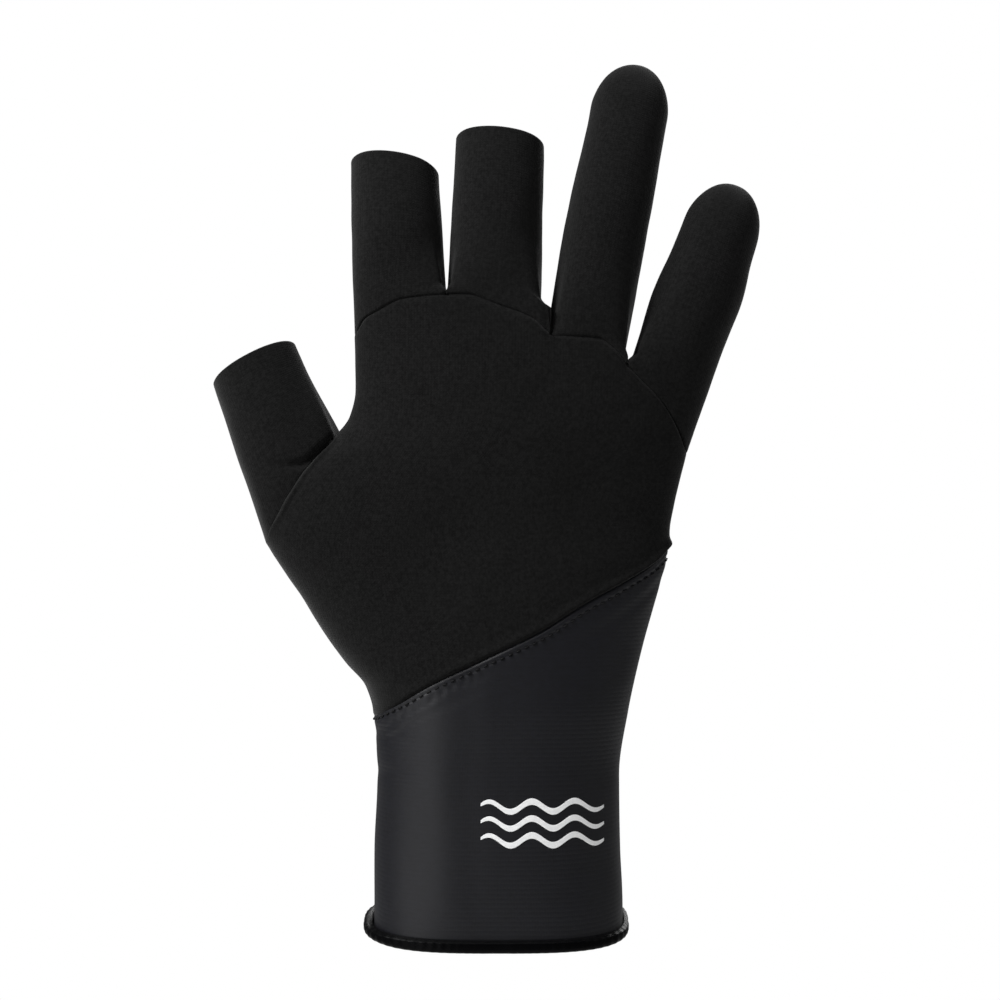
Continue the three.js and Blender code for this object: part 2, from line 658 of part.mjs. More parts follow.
/** The side of a finger at one end of its stretch of the finger seam. outwards is -1 for its left side. */
function fingerSide(end, outwards) {
  const anchor = handPoint(fingerSeamAt(webTurns[end]), webTurns[end], "back").setY(0);
  const web = webs[end - 1];
  if (!web) return { anchor, held: 0 };
  anchor.x += (web.aside - (outwards * web.width) / 2) * fingerDepth;
  anchor.z += web.rise * fingerDepth;
  return { anchor, held: web.rise * fingerDepth };
}
["index", "middle", "ring", "little"].forEach((name, i) => {
  const base = fingerBase(webTurns[i], webTurns[i + 1]);
  const shape = sleeve(name, base, fingerSide(i, -1), fingerSide(i + 1, 1));
  addPiece(`${name}_sleeve`, shape, materials.chloroprene);
});
const holeSide = (round) => {
  const { z } = holeEdge(round, "back", 0);
  return { anchor: handPoint(z, 0, "back").setY(0), held: 0 };
};
const thumb = sleeve("thumb", thumbBase(), holeSide(180), holeSide(0));
addPiece("thumb_sleeve", thumb, materials.chloroprene);

addPiece("cuff", cuff(), materials.cuffFabric);
addPiece("cuff_binding", cuffBinding(), materials.bindingTape);

export default glove;
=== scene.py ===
"""Dresses a right-hand fishing glove: knit-faced chloroprene hand, ribbed cuff and bound mouth.

The frame is the part's own: +Z towards the fingers, the back of the hand towards -Y and the thumb
towards -X. Shapes are worked out in millimetres and put into the meshes in metres.
"""

import logging
import math
from collections.abc import Callable
from dataclasses import dataclass
from enum import Enum

import bpy
import numpy as np
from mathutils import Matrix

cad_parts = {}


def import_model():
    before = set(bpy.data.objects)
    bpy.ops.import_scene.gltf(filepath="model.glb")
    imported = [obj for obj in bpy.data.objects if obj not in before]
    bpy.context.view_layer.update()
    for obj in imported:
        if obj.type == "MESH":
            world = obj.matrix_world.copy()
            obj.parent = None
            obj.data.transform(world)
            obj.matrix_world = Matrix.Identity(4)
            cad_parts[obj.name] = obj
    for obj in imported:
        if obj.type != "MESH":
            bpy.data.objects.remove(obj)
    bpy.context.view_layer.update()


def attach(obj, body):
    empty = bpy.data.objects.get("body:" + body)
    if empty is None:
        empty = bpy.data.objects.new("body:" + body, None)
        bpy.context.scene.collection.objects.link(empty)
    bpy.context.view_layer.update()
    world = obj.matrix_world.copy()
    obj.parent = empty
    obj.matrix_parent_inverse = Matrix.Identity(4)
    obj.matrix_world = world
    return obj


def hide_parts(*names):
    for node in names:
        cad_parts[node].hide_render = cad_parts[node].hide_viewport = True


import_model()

Array = np.ndarray
log = logging.getLogger("fishing_glove")

MM = 0.001
BODY = "root"
# Halving a range this often leaves far less than a micrometre of it.
HALVINGS = 40
# x of the wrist seam's lower end, at the thumb's side.
SEAM_FOOT = -38.0
# Beside a web a seam's groove is pressed shut to this share of its depth.
PRESSED_SHUT = 0.08


class Side(Enum):
    """The two halves of the hand, with the sign of their y."""

    BACK = -1
    PALM = 1


def radians(degrees: Array | float) -> Array:
    """Turns degrees into radians."""
    return np.radians(degrees)


def mix(low: Array | float, high: Array | float, share: Array | float) -> Array:
    """A value part of the way from low to high."""
    return low + (high - low) * share


def ease(share: Array | float) -> Array:
    """Rises smoothly from 0 to 1 while share does: 3 s squared minus 2 s cubed."""
    s = np.clip(share, 0.0, 1.0)
    return s * s * (3.0 - 2.0 * s)


def ramp(at: Array, start: float, length: float) -> Array:
    """Eases from 0 at start to 1 a length further on, or further back if length is below 0."""
    return ease((at - start) / length)


def norm(vectors: Array) -> Array:
    """The lengths of vectors."""
    return np.linalg.norm(vectors, axis=-1)


def unit(vectors: Array) -> Array:
    """The vectors scaled to length 1."""
    return vectors / np.maximum(norm(vectors), 1e-12)[..., None]


def stacked(*axes: Array | float) -> Array:
    """Vectors from the values along their axes, each an array or one number."""
    return np.stack(np.broadcast_arrays(*axes), axis=-1)


def joined(grid: Array, axis: int = 0) -> Array:
    """The grid with its first line once more behind the last."""
    return np.concatenate((grid, np.take(grid, [0], axis)), axis)


def bump(offset: Array, wide: Array | float) -> Array:
    """A bell of height 1: e to the minus square of offset over wide."""
    return np.exp(-((offset / wide) ** 2))


def powered(value: Array, power: Array | float) -> Array:
    """The value's size to a power, with the value's sign."""
    return np.sign(value) * np.abs(value) ** power


def halved(low: Array, high: Array, is_under: Callable[[Array], Array]) -> Array:
    """Where is_under turns from true to false between low and high, found by halving."""
    for _ in range(HALVINGS):
        middle = (low + high) / 2
        under = is_under(middle)
        low, high = np.where(under, middle, low), np.where(under, high, middle)
    return (low + high) / 2


class SmoothCurve:
    """A curve through table rows that never overshoots them and runs straight on past both ends.

    Between two rows it is a cubic with the tangent at a row set to the harmonic mean of the
    slopes on both sides, or to 0 where they have opposite signs.
    """

    def __init__(self, x: Array, y: Array) -> None:
        """Works out the tangents.

        Args:
            x: Rising places of the rows.
            y: Values there.
        """
        self.x = np.asarray(x, float)
        self.y = np.asarray(y, float)
        slope = np.diff(self.y) / np.diff(self.x)
        before, after = slope[:-1], slope[1:]
        total = np.where(before + after == 0.0, 1.0, before + after)
        inner = np.where(before * after > 0.0, 2.0 * before * after / total, 0.0)
        self.tangent = np.concatenate(([slope[0]], inner, [slope[-1]]))

    def __call__(self, at: Array | float) -> Array:
        """The curve's values at places along it."""
        at = np.asarray(at, float)
        i = np.clip(np.searchsorted(self.x, at, side="right") - 1, 0, len(self.x) - 2)
        step = self.x[i + 1] - self.x[i]
        s = (at - self.x[i]) / step
        bend = s * (1 - s) ** 2 * self.tangent[i] - s * s * (1 - s) * self.tangent[i + 1]
        inside = mix(self.y[i], self.y[i + 1], s * s * (3 - 2 * s)) + step * bend
        below = self.y[0] + self.tangent[0] * (at - self.x[0])
        above = self.y[-1] + self.tangent[-1] * (at - self.x[-1])
        return np.where(at <= self.x[0], below, np.where(at >= self.x[-1], above, inside))


def table(names: str, rows: list[tuple[float, ...]]) -> dict[str, Array]:
    """Columns of a small table, from names with blanks between them and one tuple a row."""
    return {name: np.array(column, float) for name, column in zip(names.split(), zip(*rows))}


@dataclass(frozen=True)
class GloveSizes:
    """The driving sizes of the part in millimetres and degrees, as its source has them.

    hole_back and hole_palm are the thumb hole's reach in degrees of turn, web_up its top as a
    share of hand_length. seam_blend and web_blend are the shares of finger_depth over which a
    sleeve leaves its seam and its web; web_press is how far pressed walls run into each other,
    web_focus how narrowly a web holds a sleeve's side, web_corner the angle of a foot's corner.
    Of a panel's columns, the hole shifts those before shift_until degrees of turn; its rows are
    level before level_until and follow the seams after follow_from.
    """

    sheet: float = 2.2
    cuff_sheet: float = 1.2
    tape: float = 1.3
    seam_gap: float = 0.3
    cuff_length: float = 66.9
    wrist_rise: float = 49.3
    hand_length: float = 125.9
    palm_width: float = 102.5
    palm_depth: float = 33.0
    wrist_width: float = 72.5
    wrist_depth: float = 47.0
    mouth_drop: float = 4.0
    binding_height: float = 4.4
    hole_length: float = 33.0
    hole_back: float = 31.0
    hole_palm: float = 50.0
    web_up: float = 0.6635
    hole_power: float = 0.85
    hole_stretch: float = 10.0
    finger_depth: float = 24.5
    tip_roundness: float = 1.3
    sleeve_power: float = 0.93
    thumb_set: float = 5.0
    seam_blend: float = 0.75
    web_blend: float = 0.115
    web_press: float = 0.16
    web_gap: float = 0.04
    web_focus: float = 4.0
    web_corner: float = 40.0
    shift_until: float = 90.0
    level_until: float = 55.0
    follow_from: float = 115.0

    @property
    def hand_top(self) -> float:
        """Height of the finger seam's top."""
        return self.cuff_length + self.hand_length


# Cross-sections up the cuff: up as a share of cuff_length, left and right as shares of
# wrist_width, back and palm of wrist_depth, square is the superellipse's power.
CUFF_SECTIONS = table("up left right back palm square", [
    (0, 0.518, 0.53, 0.53, 0.53, 3),
    (0.1, 0.519, 0.531, 0.525, 0.525, 2.9),
    (0.37, 0.516, 0.52, 0.51, 0.51, 2.7),
    (0.7, 0.505, 0.515, 0.49, 0.495, 2.6),
    (1, 0.523, 0.557, 0.475, 0.485, 2.5),
])
# Cross-sections up the hand: up as a share of hand_length, left and right as shares of
# palm_width, back and palm of palm_depth.
HAND_SECTIONS = table("up left right back palm square", [
    (0.055, 0.391, 0.407, 0.655, 0.675, 2.5),
    (0.11, 0.448, 0.422, 0.63, 0.665, 2.45),
    (0.165, 0.499, 0.439, 0.6, 0.655, 2.4),
    (0.274, 0.585, 0.477, 0.565, 0.645, 2.4),
    (0.385, 0.676, 0.51, 0.535, 0.63, 2.4),
    (0.441, 0.71, 0.515, 0.52, 0.615, 2.4),
    (0.496, 0.698, 0.528, 0.51, 0.6, 2.4),
    (0.552, 0.659, 0.544, 0.5, 0.58, 2.4),
    (0.608, 0.585, 0.563, 0.49, 0.55, 2.4),
    (0.6635, 0.482, 0.577, 0.48, 0.53, 2.4),
    (0.711, 0.439, 0.59, 0.465, 0.5, 2.4),
    (0.771, 0.423, 0.597, 0.45, 0.47, 2.45),
    (1, 0.426, 0.603, 0.405, 0.405, 2.55),
])
# The wrist seam: across as a share of the way between its ends, up as a share of wrist_rise.
WRIST_SEAM = table("across up", [
    (0, -0.045), (0.08, 0.035), (0.2, 0.165), (0.44, 0.381), (0.575, 0.501),
    (0.708, 0.653), (0.846, 0.787), (0.947, 0.9), (1, 1),
])
# The finger seam: across as a share of palm_width, drop below its top as a share of hand_length.
FINGER_SEAM = table("across drop", [
    (-0.425, 0.095), (-0.396, 0.058), (-0.359, 0.04), (-0.274, 0.0095), (-0.094, 0),
    (0.003, 0.026), (0.1, 0.057), (0.165, 0.0975), (0.2995, 0.107), (0.3385, 0.127),
    (0.404, 0.188), (0.495, 0.266), (0.548, 0.341), (0.566, 0.379),
])
# Webs between two fingers: across as a share of palm_width; rise above the seam, width between the
# fingers and how far aside they part as shares of finger_depth; before and after are the shares
# of the rise up to which the sleeves on both sides keep to each other's line; round is 1 where
# they then part on a quarter circle, and 0 where they part on a soft bend.
WEBS = table("across rise width aside before after round", [
    (-0.15, 0.04, 0.01, 0, 0.85, 0.85, 0),
    (0.16, 0.32, 0.14, -0.05, 0.96, 0, 1),
    (0.383, 0.06, 0.085, 0.02, 0.85, 0.85, 0),
])
# Mounds (+) and hollows (-) of the hand: across and wide as shares of palm_width, up and tall
# of hand_length, high of palm_depth.
RELIEF = {
    Side.BACK: table("across up wide tall high", [
        (0.02, 0.78, 0.3, 0.16, 0.03),
        (-0.22, 0.36, 0.16, 0.12, -0.05),
        (0.3, 0.5, 0.14, 0.2, -0.03),
    ]),
    Side.PALM: table("across up wide tall high", [
        (0.02, 0.6, 0.16, 0.22, -0.13),
        (-0.36, 0.42, 0.16, 0.2, 0.1),
        (0.34, 0.4, 0.12, 0.24, 0.07),
    ]),
}


class HandForm:
    """The outer surface of hand and cuff, and the seams that cross it."""

    def __init__(self, sizes: GloveSizes) -> None:
        """Joins the cuff's and the hand's sections into smooth outlines."""
        self.sizes = sizes
        cuff, hand = CUFF_SECTIONS, HAND_SECTIONS
        height = np.concatenate(
            (cuff["up"] * sizes.cuff_length, sizes.cuff_length + hand["up"] * sizes.hand_length)
        )
        scales = {
            "left": (-sizes.wrist_width, -sizes.palm_width),
            "right": (sizes.wrist_width, sizes.palm_width),
            "back": (sizes.wrist_depth, sizes.palm_depth),
            "palm": (sizes.wrist_depth, sizes.palm_depth),
            "square": (1.0, 1.0),
        }
        self.outline = {
            name: SmoothCurve(height, np.concatenate((cuff[name] * low, hand[name] * high)))
            for name, (low, high) in scales.items()
        }
        self.wrist_share = SmoothCurve(WRIST_SEAM["across"], WRIST_SEAM["up"])
        self.finger_drop = SmoothCurve(FINGER_SEAM["across"], FINGER_SEAM["drop"])
        self.web_turns = np.concatenate(
            ([0.0], self.turn_across(WEBS["across"] * sizes.palm_width), [180.0])
        )
        tenths = 1801
        self.dense = np.linspace(0.0, 180.0, tenths)
        self.edges = {
            seam: (self.height_met(seam, self.dense), self.gap_up(seam, self.dense))
            for seam in ("wrist_seam", "finger_seam")
        }

    def seam_at(self, seam: str, turn: Array, gaps: float) -> Array:
        """Height of a seam at turns, moved up by gaps times half its gap."""
        height, gap = self.edges[seam]
        return np.interp(turn, self.dense, height + gaps * gap)

    def relief(self, side: Side, x: Array, z: Array) -> Array:
        """How far the mounds and hollows lift one side: a sum of bells over x and z."""
        s, rows = self.sizes, RELIEF[side]
        x, z = np.asarray(x)[..., None], np.asarray(z)[..., None]
        across = (x - rows["across"] * s.palm_width) / (rows["wide"] * s.palm_width)
        up = (z - s.cuff_length - rows["up"] * s.hand_length) / (rows["tall"] * s.hand_length)
        return np.sum(rows["high"] * s.palm_depth * np.exp(-across**2 - up**2), axis=-1)

    def point(self, z: Array, turn: Array, side: Side) -> Array:
        """A point of the outer surface, on a superellipse across each height.

        x is the middle plus half the width times the cosine of turn to the power 2 / square,
        and y is the side's depth times the sine of turn to that power.

        Args:
            z: Heights.
            turn: 0 at the thumb's side to 180 at the little finger's.
            side: Over the back or over the palm.

        Returns:
            The points, with x, y and z along the last axis.
        """
        z, turn = np.broadcast_arrays(np.asarray(z, float), np.asarray(turn, float))
        power = 2.0 / self.outline["square"](z)
        across = -powered(np.cos(radians(turn)), power)
        left, right = self.outline["left"](z), self.outline["right"](z)
        x = (left + right) / 2 + across * (right - left) / 2
        share = np.maximum(0.0, np.sin(radians(turn))) ** power
        depth = self.outline[side.name.lower()](z) + self.relief(side, x, z)
        return stacked(x, side.value * share * depth, z)

    def inward(self, z: Array, turn: Array, side: Side) -> Array:
        """The level direction from the outer surface towards the inside."""
        a, b = (self.point(z, np.clip(turn + t, 0, 180), side) for t in (-1.0, 1.0))
        return unit(-side.value * stacked(a[..., 1] - b[..., 1], b[..., 0] - a[..., 0], 0.0))

    def within(self, z: Array, turn: Array, side: Side, depth: float) -> Array:
        """Points that lie a depth inside the outer surface."""
        return self.point(z, turn, side) + depth * self.inward(z, turn, side)

    def wrist_seam(self, x: Array) -> Array:
        """Height of the wrist seam above the mouth, at places across the hand."""
        s = self.sizes
        start = self.outline["left"](s.cuff_length)
        end = self.outline["right"](s.cuff_length + s.wrist_rise)
        return s.cuff_length + s.wrist_rise * self.wrist_share((x - start) / (end - start))

    def finger_seam(self, x: Array) -> Array:
        """Height of the finger seam, at places across the hand."""
        s = self.sizes
        return s.hand_top - s.hand_length * self.finger_drop(x / s.palm_width)

    def height_met(self, seam: str, turn: Array) -> Array:
        """The height at which lines up the hand, given by their turns, meet a named seam."""
        turn = np.asarray(turn, float)
        low = np.full(turn.shape, 0.0 if seam == "wrist_seam" else self.sizes.cuff_length)
        high = np.full(turn.shape, self.sizes.hand_top + 1.0)
        height = getattr(self, seam)
        return halved(low, high, lambda z: z < height(self.point(z, turn, Side.BACK)[..., 0]))

    def gap_up(self, seam: str, turn: Array) -> Array:
        """Half the seam's gap, measured straight up where the seam climbs."""
        low, high = np.clip(turn - 0.5, 0, 180), np.clip(turn + 0.5, 0, 180)
        a = self.point(self.height_met(seam, low), low, Side.BACK)
        b = self.point(self.height_met(seam, high), high, Side.BACK)
        step = b - a
        slope = step[..., 2] / np.hypot(step[..., 0], step[..., 1])
        return self.sizes.seam_gap / 2 * np.hypot(1.0, slope)

    def turn_across(self, x: Array) -> Array:
        """The turns at which the finger seam passes places across the hand."""

        def before(turn: Array) -> Array:
            """Whether the seam at a turn still lies on the thumb's side of the place."""
            height = self.height_met("finger_seam", turn)
            return self.point(height, turn, Side.BACK)[..., 0] < x

        return halved(np.zeros(np.shape(x)), np.full(np.shape(x), 180.0), before)

    def hole_edge(self, round_: Array, side: Side, grow: float) -> tuple[Array, Array]:
        """The thumb hole's edge: an oval, its turn the sine of round_ to a power.

        Args:
            round_: Angle about the hole, 0 at the web and 180 at its lower end.
            side: The half of the hole.
            grow: How far the edge is moved outwards.

        Returns:
            Heights and turns.
        """
        s = self.sizes
        middle = s.cuff_length + s.web_up * s.hand_length - s.hole_length / 2
        angle = radians(round_ + s.hole_stretch * np.sin(radians(2 * round_)))
        z = middle + (s.hole_length / 2 + grow) * np.cos(angle)
        away = np.abs(np.sin(angle)) ** s.hole_power
        reach = s.hole_back if side is Side.BACK else s.hole_palm
        return z, (reach + 2 * grow * 180 / (math.pi * s.palm_depth)) * away

    def mouth(self, turn: Array, side: Side) -> Array:
        """Height of the mouth's edge: lower over the back of the hand, higher over the palm."""
        share = np.sin(radians(turn)) ** (2.0 / CUFF_SECTIONS["square"][0])
        return self.sizes.mouth_drop * share * side.value


def grid_normals(points: Array, wrap: bool) -> Array:
    """Unit normals of a grid, from its steps along rows and columns; wrap joins the last column."""
    if wrap:
        across = np.roll(points, -1, axis=1) - np.roll(points, 1, axis=1)
    else:
        across = np.gradient(points, axis=1)
    return unit(np.cross(across, np.gradient(points, axis=0)))


def way_along(points: Array, axis: int) -> Array:
    """The way along a grid's lines from the first point of each."""
    steps = norm(np.diff(points, axis=axis))
    return np.insert(np.cumsum(steps, axis=axis), 0, 0.0, axis=axis)


def edge_distance(points: Array, edges: str) -> Array:
    """The way along the grid's lines to the nearest of the named edges.

    Args:
        points: Rows by columns by 3.
        edges: Letters of first (f) and last (l) row, start (s) and end (e) column.

    Returns:
        One distance a point.
    """
    up, across = way_along(points, 0), way_along(points, 1)
    ways = {"f": up, "l": up[-1:] - up, "s": across, "e": across[:, -1:] - across}
    return np.min([ways[edge] for edge in edges], axis=0)


def roll_off(distance: Array, width: float, depth: float) -> Array:
    """How far a soft edge sinks: a quarter circle of that width, scaled to depth."""
    past = np.clip(1.0 - distance / width, 0.0, 1.0)
    return depth * (1.0 - np.sqrt(1.0 - past * past))


# Directions and phases of the five sine waves in ripple.
RIPPLES = np.array([
    (0.9, 0.3, 0.5, 0.4),
    (-0.5, 0.7, 0.8, 2.1),
    (0.2, -0.9, 1.3, 4.4),
    (1.2, 0.4, -0.7, 5.2),
    (-0.8, -0.6, 0.35, 1.3),
])


def ripple(points: Array, scale: float) -> Array:
    """Soft unevenness from -1 to 1: the mean of five slanting sine waves about scale long."""
    phase = points @ RIPPLES[:, :3].T * (2 * math.pi / scale) + RIPPLES[:, 3]
    return np.mean(np.sin(phase), axis=-1)


def unevenness(points: Array, waves: tuple[tuple[float, float], ...]) -> Array:
    """Ripples of several heights and lengths, added up."""
    return sum(high * ripple(points, scale) for high, scale in waves)


@dataclass(frozen=True)
class Crease:
    """A fold of the cloth along a line in the front view.

    line has rows of x, z and strength in millimetres and shares, wide is the fold's half width
    and deep how far it sinks, or rises if it is below 0.
    """

    line: tuple[tuple[float, float, float], ...]
    wide: float
    deep: float
    side: Side = Side.BACK

    def sink(self, points: Array, normals: Array) -> Array:
        """How far places with these normals sink.

        It is deep times the line's strength times a bell of the distance from it, and fades
        where the cloth turns away from the crease's side.
        """
        steepness = 1.6
        nearest = np.full(points.shape[:-1], np.inf)
        strength = np.zeros(points.shape[:-1])
        x, z = points[..., 0], points[..., 2]
        for (x0, z0, s0), (x1, z1, s1) in zip(self.line[:-1], self.line[1:]):
            along = (x - x0) * (x1 - x0) + (z - z0) * (z1 - z0)
            share = np.clip(along / ((x1 - x0) ** 2 + (z1 - z0) ** 2), 0.0, 1.0)
            away = np.hypot(x - mix(x0, x1, share), z - mix(z0, z1, share))
            closer = away < nearest
            nearest = np.where(closer, away, nearest)
            strength = np.where(closer, mix(s0, s1, share), strength)
        facing = ease(normals[..., 1] * self.side.value * steepness)
        return self.deep * strength * bump(nearest, self.wide) * facing


def sunk_by(creases: tuple[Crease, ...], points: Array, normals: Array) -> Array:
    """How far places sink under all of these creases."""
    sinks = (crease.sink(points, normals) for crease in creases)
    return sum(sinks, np.zeros(points.shape[:-1]))


@dataclass
class Wall:
    """Vertices and faces of a closed shell, and each vertex's place on the flat cloth.

    cloth has millimetres across and up the cloth, and around is the way once round the piece,
    or 0 where it isn't closed.
    """

    points: Array
    faces: list[Array]
    cloth: Array
    around: float = 0.0

    def corner_places(self) -> Array:
        """Places on the cloth by face corner, carried on past the line where it closes."""
        corners = []
        for part in self.faces:
            places = self.cloth[part].copy()
            across = places[..., 0]
            jump = np.ptp(across, axis=1, keepdims=True) > self.around / 2
            past = jump & (across < self.around / 2) & (self.around > 0)
            places[..., 0] = np.where(past, across + self.around, across)
            corners.append(places.reshape(-1, 2))
        return np.concatenate(corners)


def cloth_places(points: Array, wrap: bool) -> tuple[Array, float]:
    """Places of a grid's points on the flat cloth.

    Round a tube they are the way round its middle ring and the mean way up. On an open sheet
    they are the level way from its middle column, and the height.

    Args:
        points: Rows by columns by 3.
        wrap: Whether the last column meets the first.

    Returns:
        Rows by columns by 2, and the way once round.
    """
    if wrap:
        steps = norm(np.diff(joined(points[len(points) // 2]), axis=0))
        rise = norm(np.diff(points, axis=0)).mean(axis=1)
        up = np.insert(np.cumsum(rise), 0, 0.0)[:, None]
        return stacked(np.cumsum(steps) - steps, up), steps.sum()
    across = way_along(points[..., :2], 1)
    across = across - across[:, points.shape[1] // 2, None]
    return stacked(across, points[..., 2]), 0.0


def strip(a: Array, b: Array) -> Array:
    """Quads between two closed runs of vertex numbers of one length."""
    a, b = joined(a), joined(b)
    return stacked(a[:-1], a[1:], b[1:], b[:-1])


def grid_faces(numbers: Array, wrap: bool) -> Array:
    """Quads of a whole grid of vertex numbers, facing along its normals."""
    if wrap:
        numbers = joined(numbers, 1)
    a, b = numbers[:-1, :-1], numbers[:-1, 1:]
    c, d = numbers[1:, 1:], numbers[1:, :-1]
    return stacked(a, b, c, d).reshape(-1, 4)


def border(grid: Array) -> Array:
    """An open grid's border, clockwise seen from outside."""
    return np.concatenate((grid[0, :0:-1], grid[:-1, 0], grid[-1, :-1], grid[:0:-1, -1]))


def shell(
    outer: Array,
    inner: Array,
    wrap: bool,
    tip: bool = False,
    bulge: float = 0.35,
    cloth: Array | None = None,
) -> Wall:
    """A wall between two grids, closed round its edges by a rounded rim.

    A rim point goes from the outer to the inner edge along a half circle that stands out by
    bulge times the wall: outer + (inner - outer) (1 - cos a) / 2 + away bulge sin a.

    Args:
        outer: Rows by columns by 3, with normals facing out.
        inner: The same for the inner surface, on the same columns.
        wrap: Whether the last column meets the first.
        tip: Whether the last row closes to a point instead of a rim.
        bulge: How far the rim stands out, as a share of the wall.
        cloth: Places of the outer points on the cloth, unless cloth_places gives them.

    Returns:
        The closed shell.
    """
    rim_steps = 5
    top = np.arange(outer[..., 0].size).reshape(outer.shape[:2])
    under = top.size + np.arange(inner[..., 0].size).reshape(inner.shape[:2])
    faces = [grid_faces(top, wrap), grid_faces(under, wrap)[:, ::-1]]
    points = [outer.reshape(-1, 3), inner.reshape(-1, 3)]
    found, around = cloth_places(outer, wrap)
    cloth = found if cloth is None else cloth
    places = [cloth.reshape(-1, 2), cloth_places(inner, wrap)[0].reshape(-1, 2)]

    def size() -> int:
        """How many points there are so far."""
        return sum(len(part) for part in points)

    def rim(a: Array, b: Array, pa: Array, pb: Array, beside: Array, edge: Array) -> None:
        """Adds a rim from the outer loop a to the inner loop b, with beside one step in."""
        across = pb - pa
        out = pa - beside
        along = unit(across)
        out = unit(out - along * np.sum(out * along, axis=-1, keepdims=True))
        thick = norm(across)[..., None]
        last = a
        for step in range(1, rim_steps):
            angle = math.pi * step / rim_steps
            place = pa + across * (1 - math.cos(angle)) / 2
            run = size() + np.arange(len(a))
            points.append(place + out * thick * bulge * math.sin(angle))
            places.append(edge)
            faces.append(strip(last, run))
            last = run
        faces.append(strip(last, b))

    if wrap:
        first = (top[0], under[0], outer[0], inner[0], outer[1], cloth[0])
        rim(*(part[::-1] for part in first))
        if not tip:
            rim(top[-1], under[-1], outer[-1], inner[-1], outer[-2], cloth[-1])
    else:
        near = outer.copy()
        near[0], near[-1] = outer[1], outer[-2]
        near[:, 0], near[:, -1] = near[:, 1], near[:, -2]
        rim(*(border(part) for part in (top, under, outer, inner, near, cloth)))
    if tip:
        for run, row, order in ((top[-1], outer[-1], 1), (under[-1], inner[-1], -1)):
            faces.append(stacked(run, np.roll(run, -1), size())[:, ::order])
            points.append(row.mean(axis=0)[None, :])
            places.append(cloth[-1].mean(axis=0)[None, :])
    return Wall(np.concatenate(points), faces, np.concatenate(places), around)


def declare_sheet(outer: Array, wrap: bool) -> None:
    """Works out a piece's outer rows, with the first column once more after the last where it
    wraps, and makes nothing of them.
    """
    rows = joined(outer, 1) if wrap else outer


def make_piece(
    name: str, wall: Wall, material: bpy.types.Material, nodes: tuple[str, ...] = ()
) -> bpy.types.Object:
    """Puts a shell into the scene as one smooth piece on the glove's body.

    Args:
        name: The object's name.
        wall: Its shell, in millimetres.
        material: Its finish.
        nodes: CAD nodes that it stands for.

    Returns:
        The new object, at the origin.
    """
    mesh = bpy.data.meshes.new(name)
    corners = np.concatenate([part.ravel() for part in wall.faces])
    sides = np.concatenate([np.full(len(part), part.shape[1]) for part in wall.faces])
    mesh.vertices.add(len(wall.points))
    mesh.vertices.foreach_set("co", (wall.points * MM).astype(np.float32).ravel())
    mesh.loops.add(len(corners))
    mesh.loops.foreach_set("vertex_index", corners.astype(np.int32))
    mesh.polygons.add(len(sides))
    mesh.polygons.foreach_set("loop_start", (np.cumsum(sides) - sides).astype(np.int32))
    mesh.polygons.foreach_set("use_smooth", np.ones(len(sides), dtype=bool))
    mesh.uv_layers.new(name="cloth").data.foreach_set(
        "uv", wall.corner_places().astype(np.float32).ravel()
    )
    mesh.update(calc_edges=True)
    mesh.validate()
    mesh.materials.append(material)
    piece = bpy.data.objects.new(name, mesh)
    bpy.context.scene.collection.objects.link(piece)
    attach(piece, BODY)
    if nodes:
        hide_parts(*nodes)
    log.info("%s: %d faces", name, len(sides))
    return piece


def linear(colour: str) -> tuple[float, float, float, float]:
    """An sRGB hex colour as linear RGBA."""
    channels = [int(colour[i : i + 2], 16) / 255 for i in (1, 3, 5)]
    turned = [c / 12.92 if c <= 0.04045 else ((c + 0.055) / 1.055) ** 2.4 for c in channels]
    return (*turned, 1.0)


def node_maker(owner: bpy.types.Material | bpy.types.World) -> Callable[..., bpy.types.Node]:
    """Empties an owner's node tree, and returns a function that adds nodes to it."""
    owner.use_nodes = True
    tree = owner.node_tree
    tree.nodes.clear()

    def add(kind: str, inputs: dict[str | int, object], **settings: object) -> bpy.types.Node:
        """Adds one node.

        Args:
            kind: Its type, without ShaderNode.
            inputs: Input sockets by name or number: an output socket is linked, anything else
                is set.
            **settings: Its attributes.

        Returns:
            The node.
        """
        node = tree.nodes.new("ShaderNode" + kind)
        for name, value in settings.items():
            setattr(node, name, value)
        for key, value in inputs.items():
            if isinstance(value, bpy.types.NodeSocket):
                tree.links.new(value, node.inputs[key])
            else:
                node.inputs[key].default_value = value
        return node

    return add


class Weave(Enum):
    """How a cloth's face is made."""

    JERSEY = "columns of small V-shaped loops"
    RIB = "raised ribs across the cuff"
    PLAIN = "threads over and under"


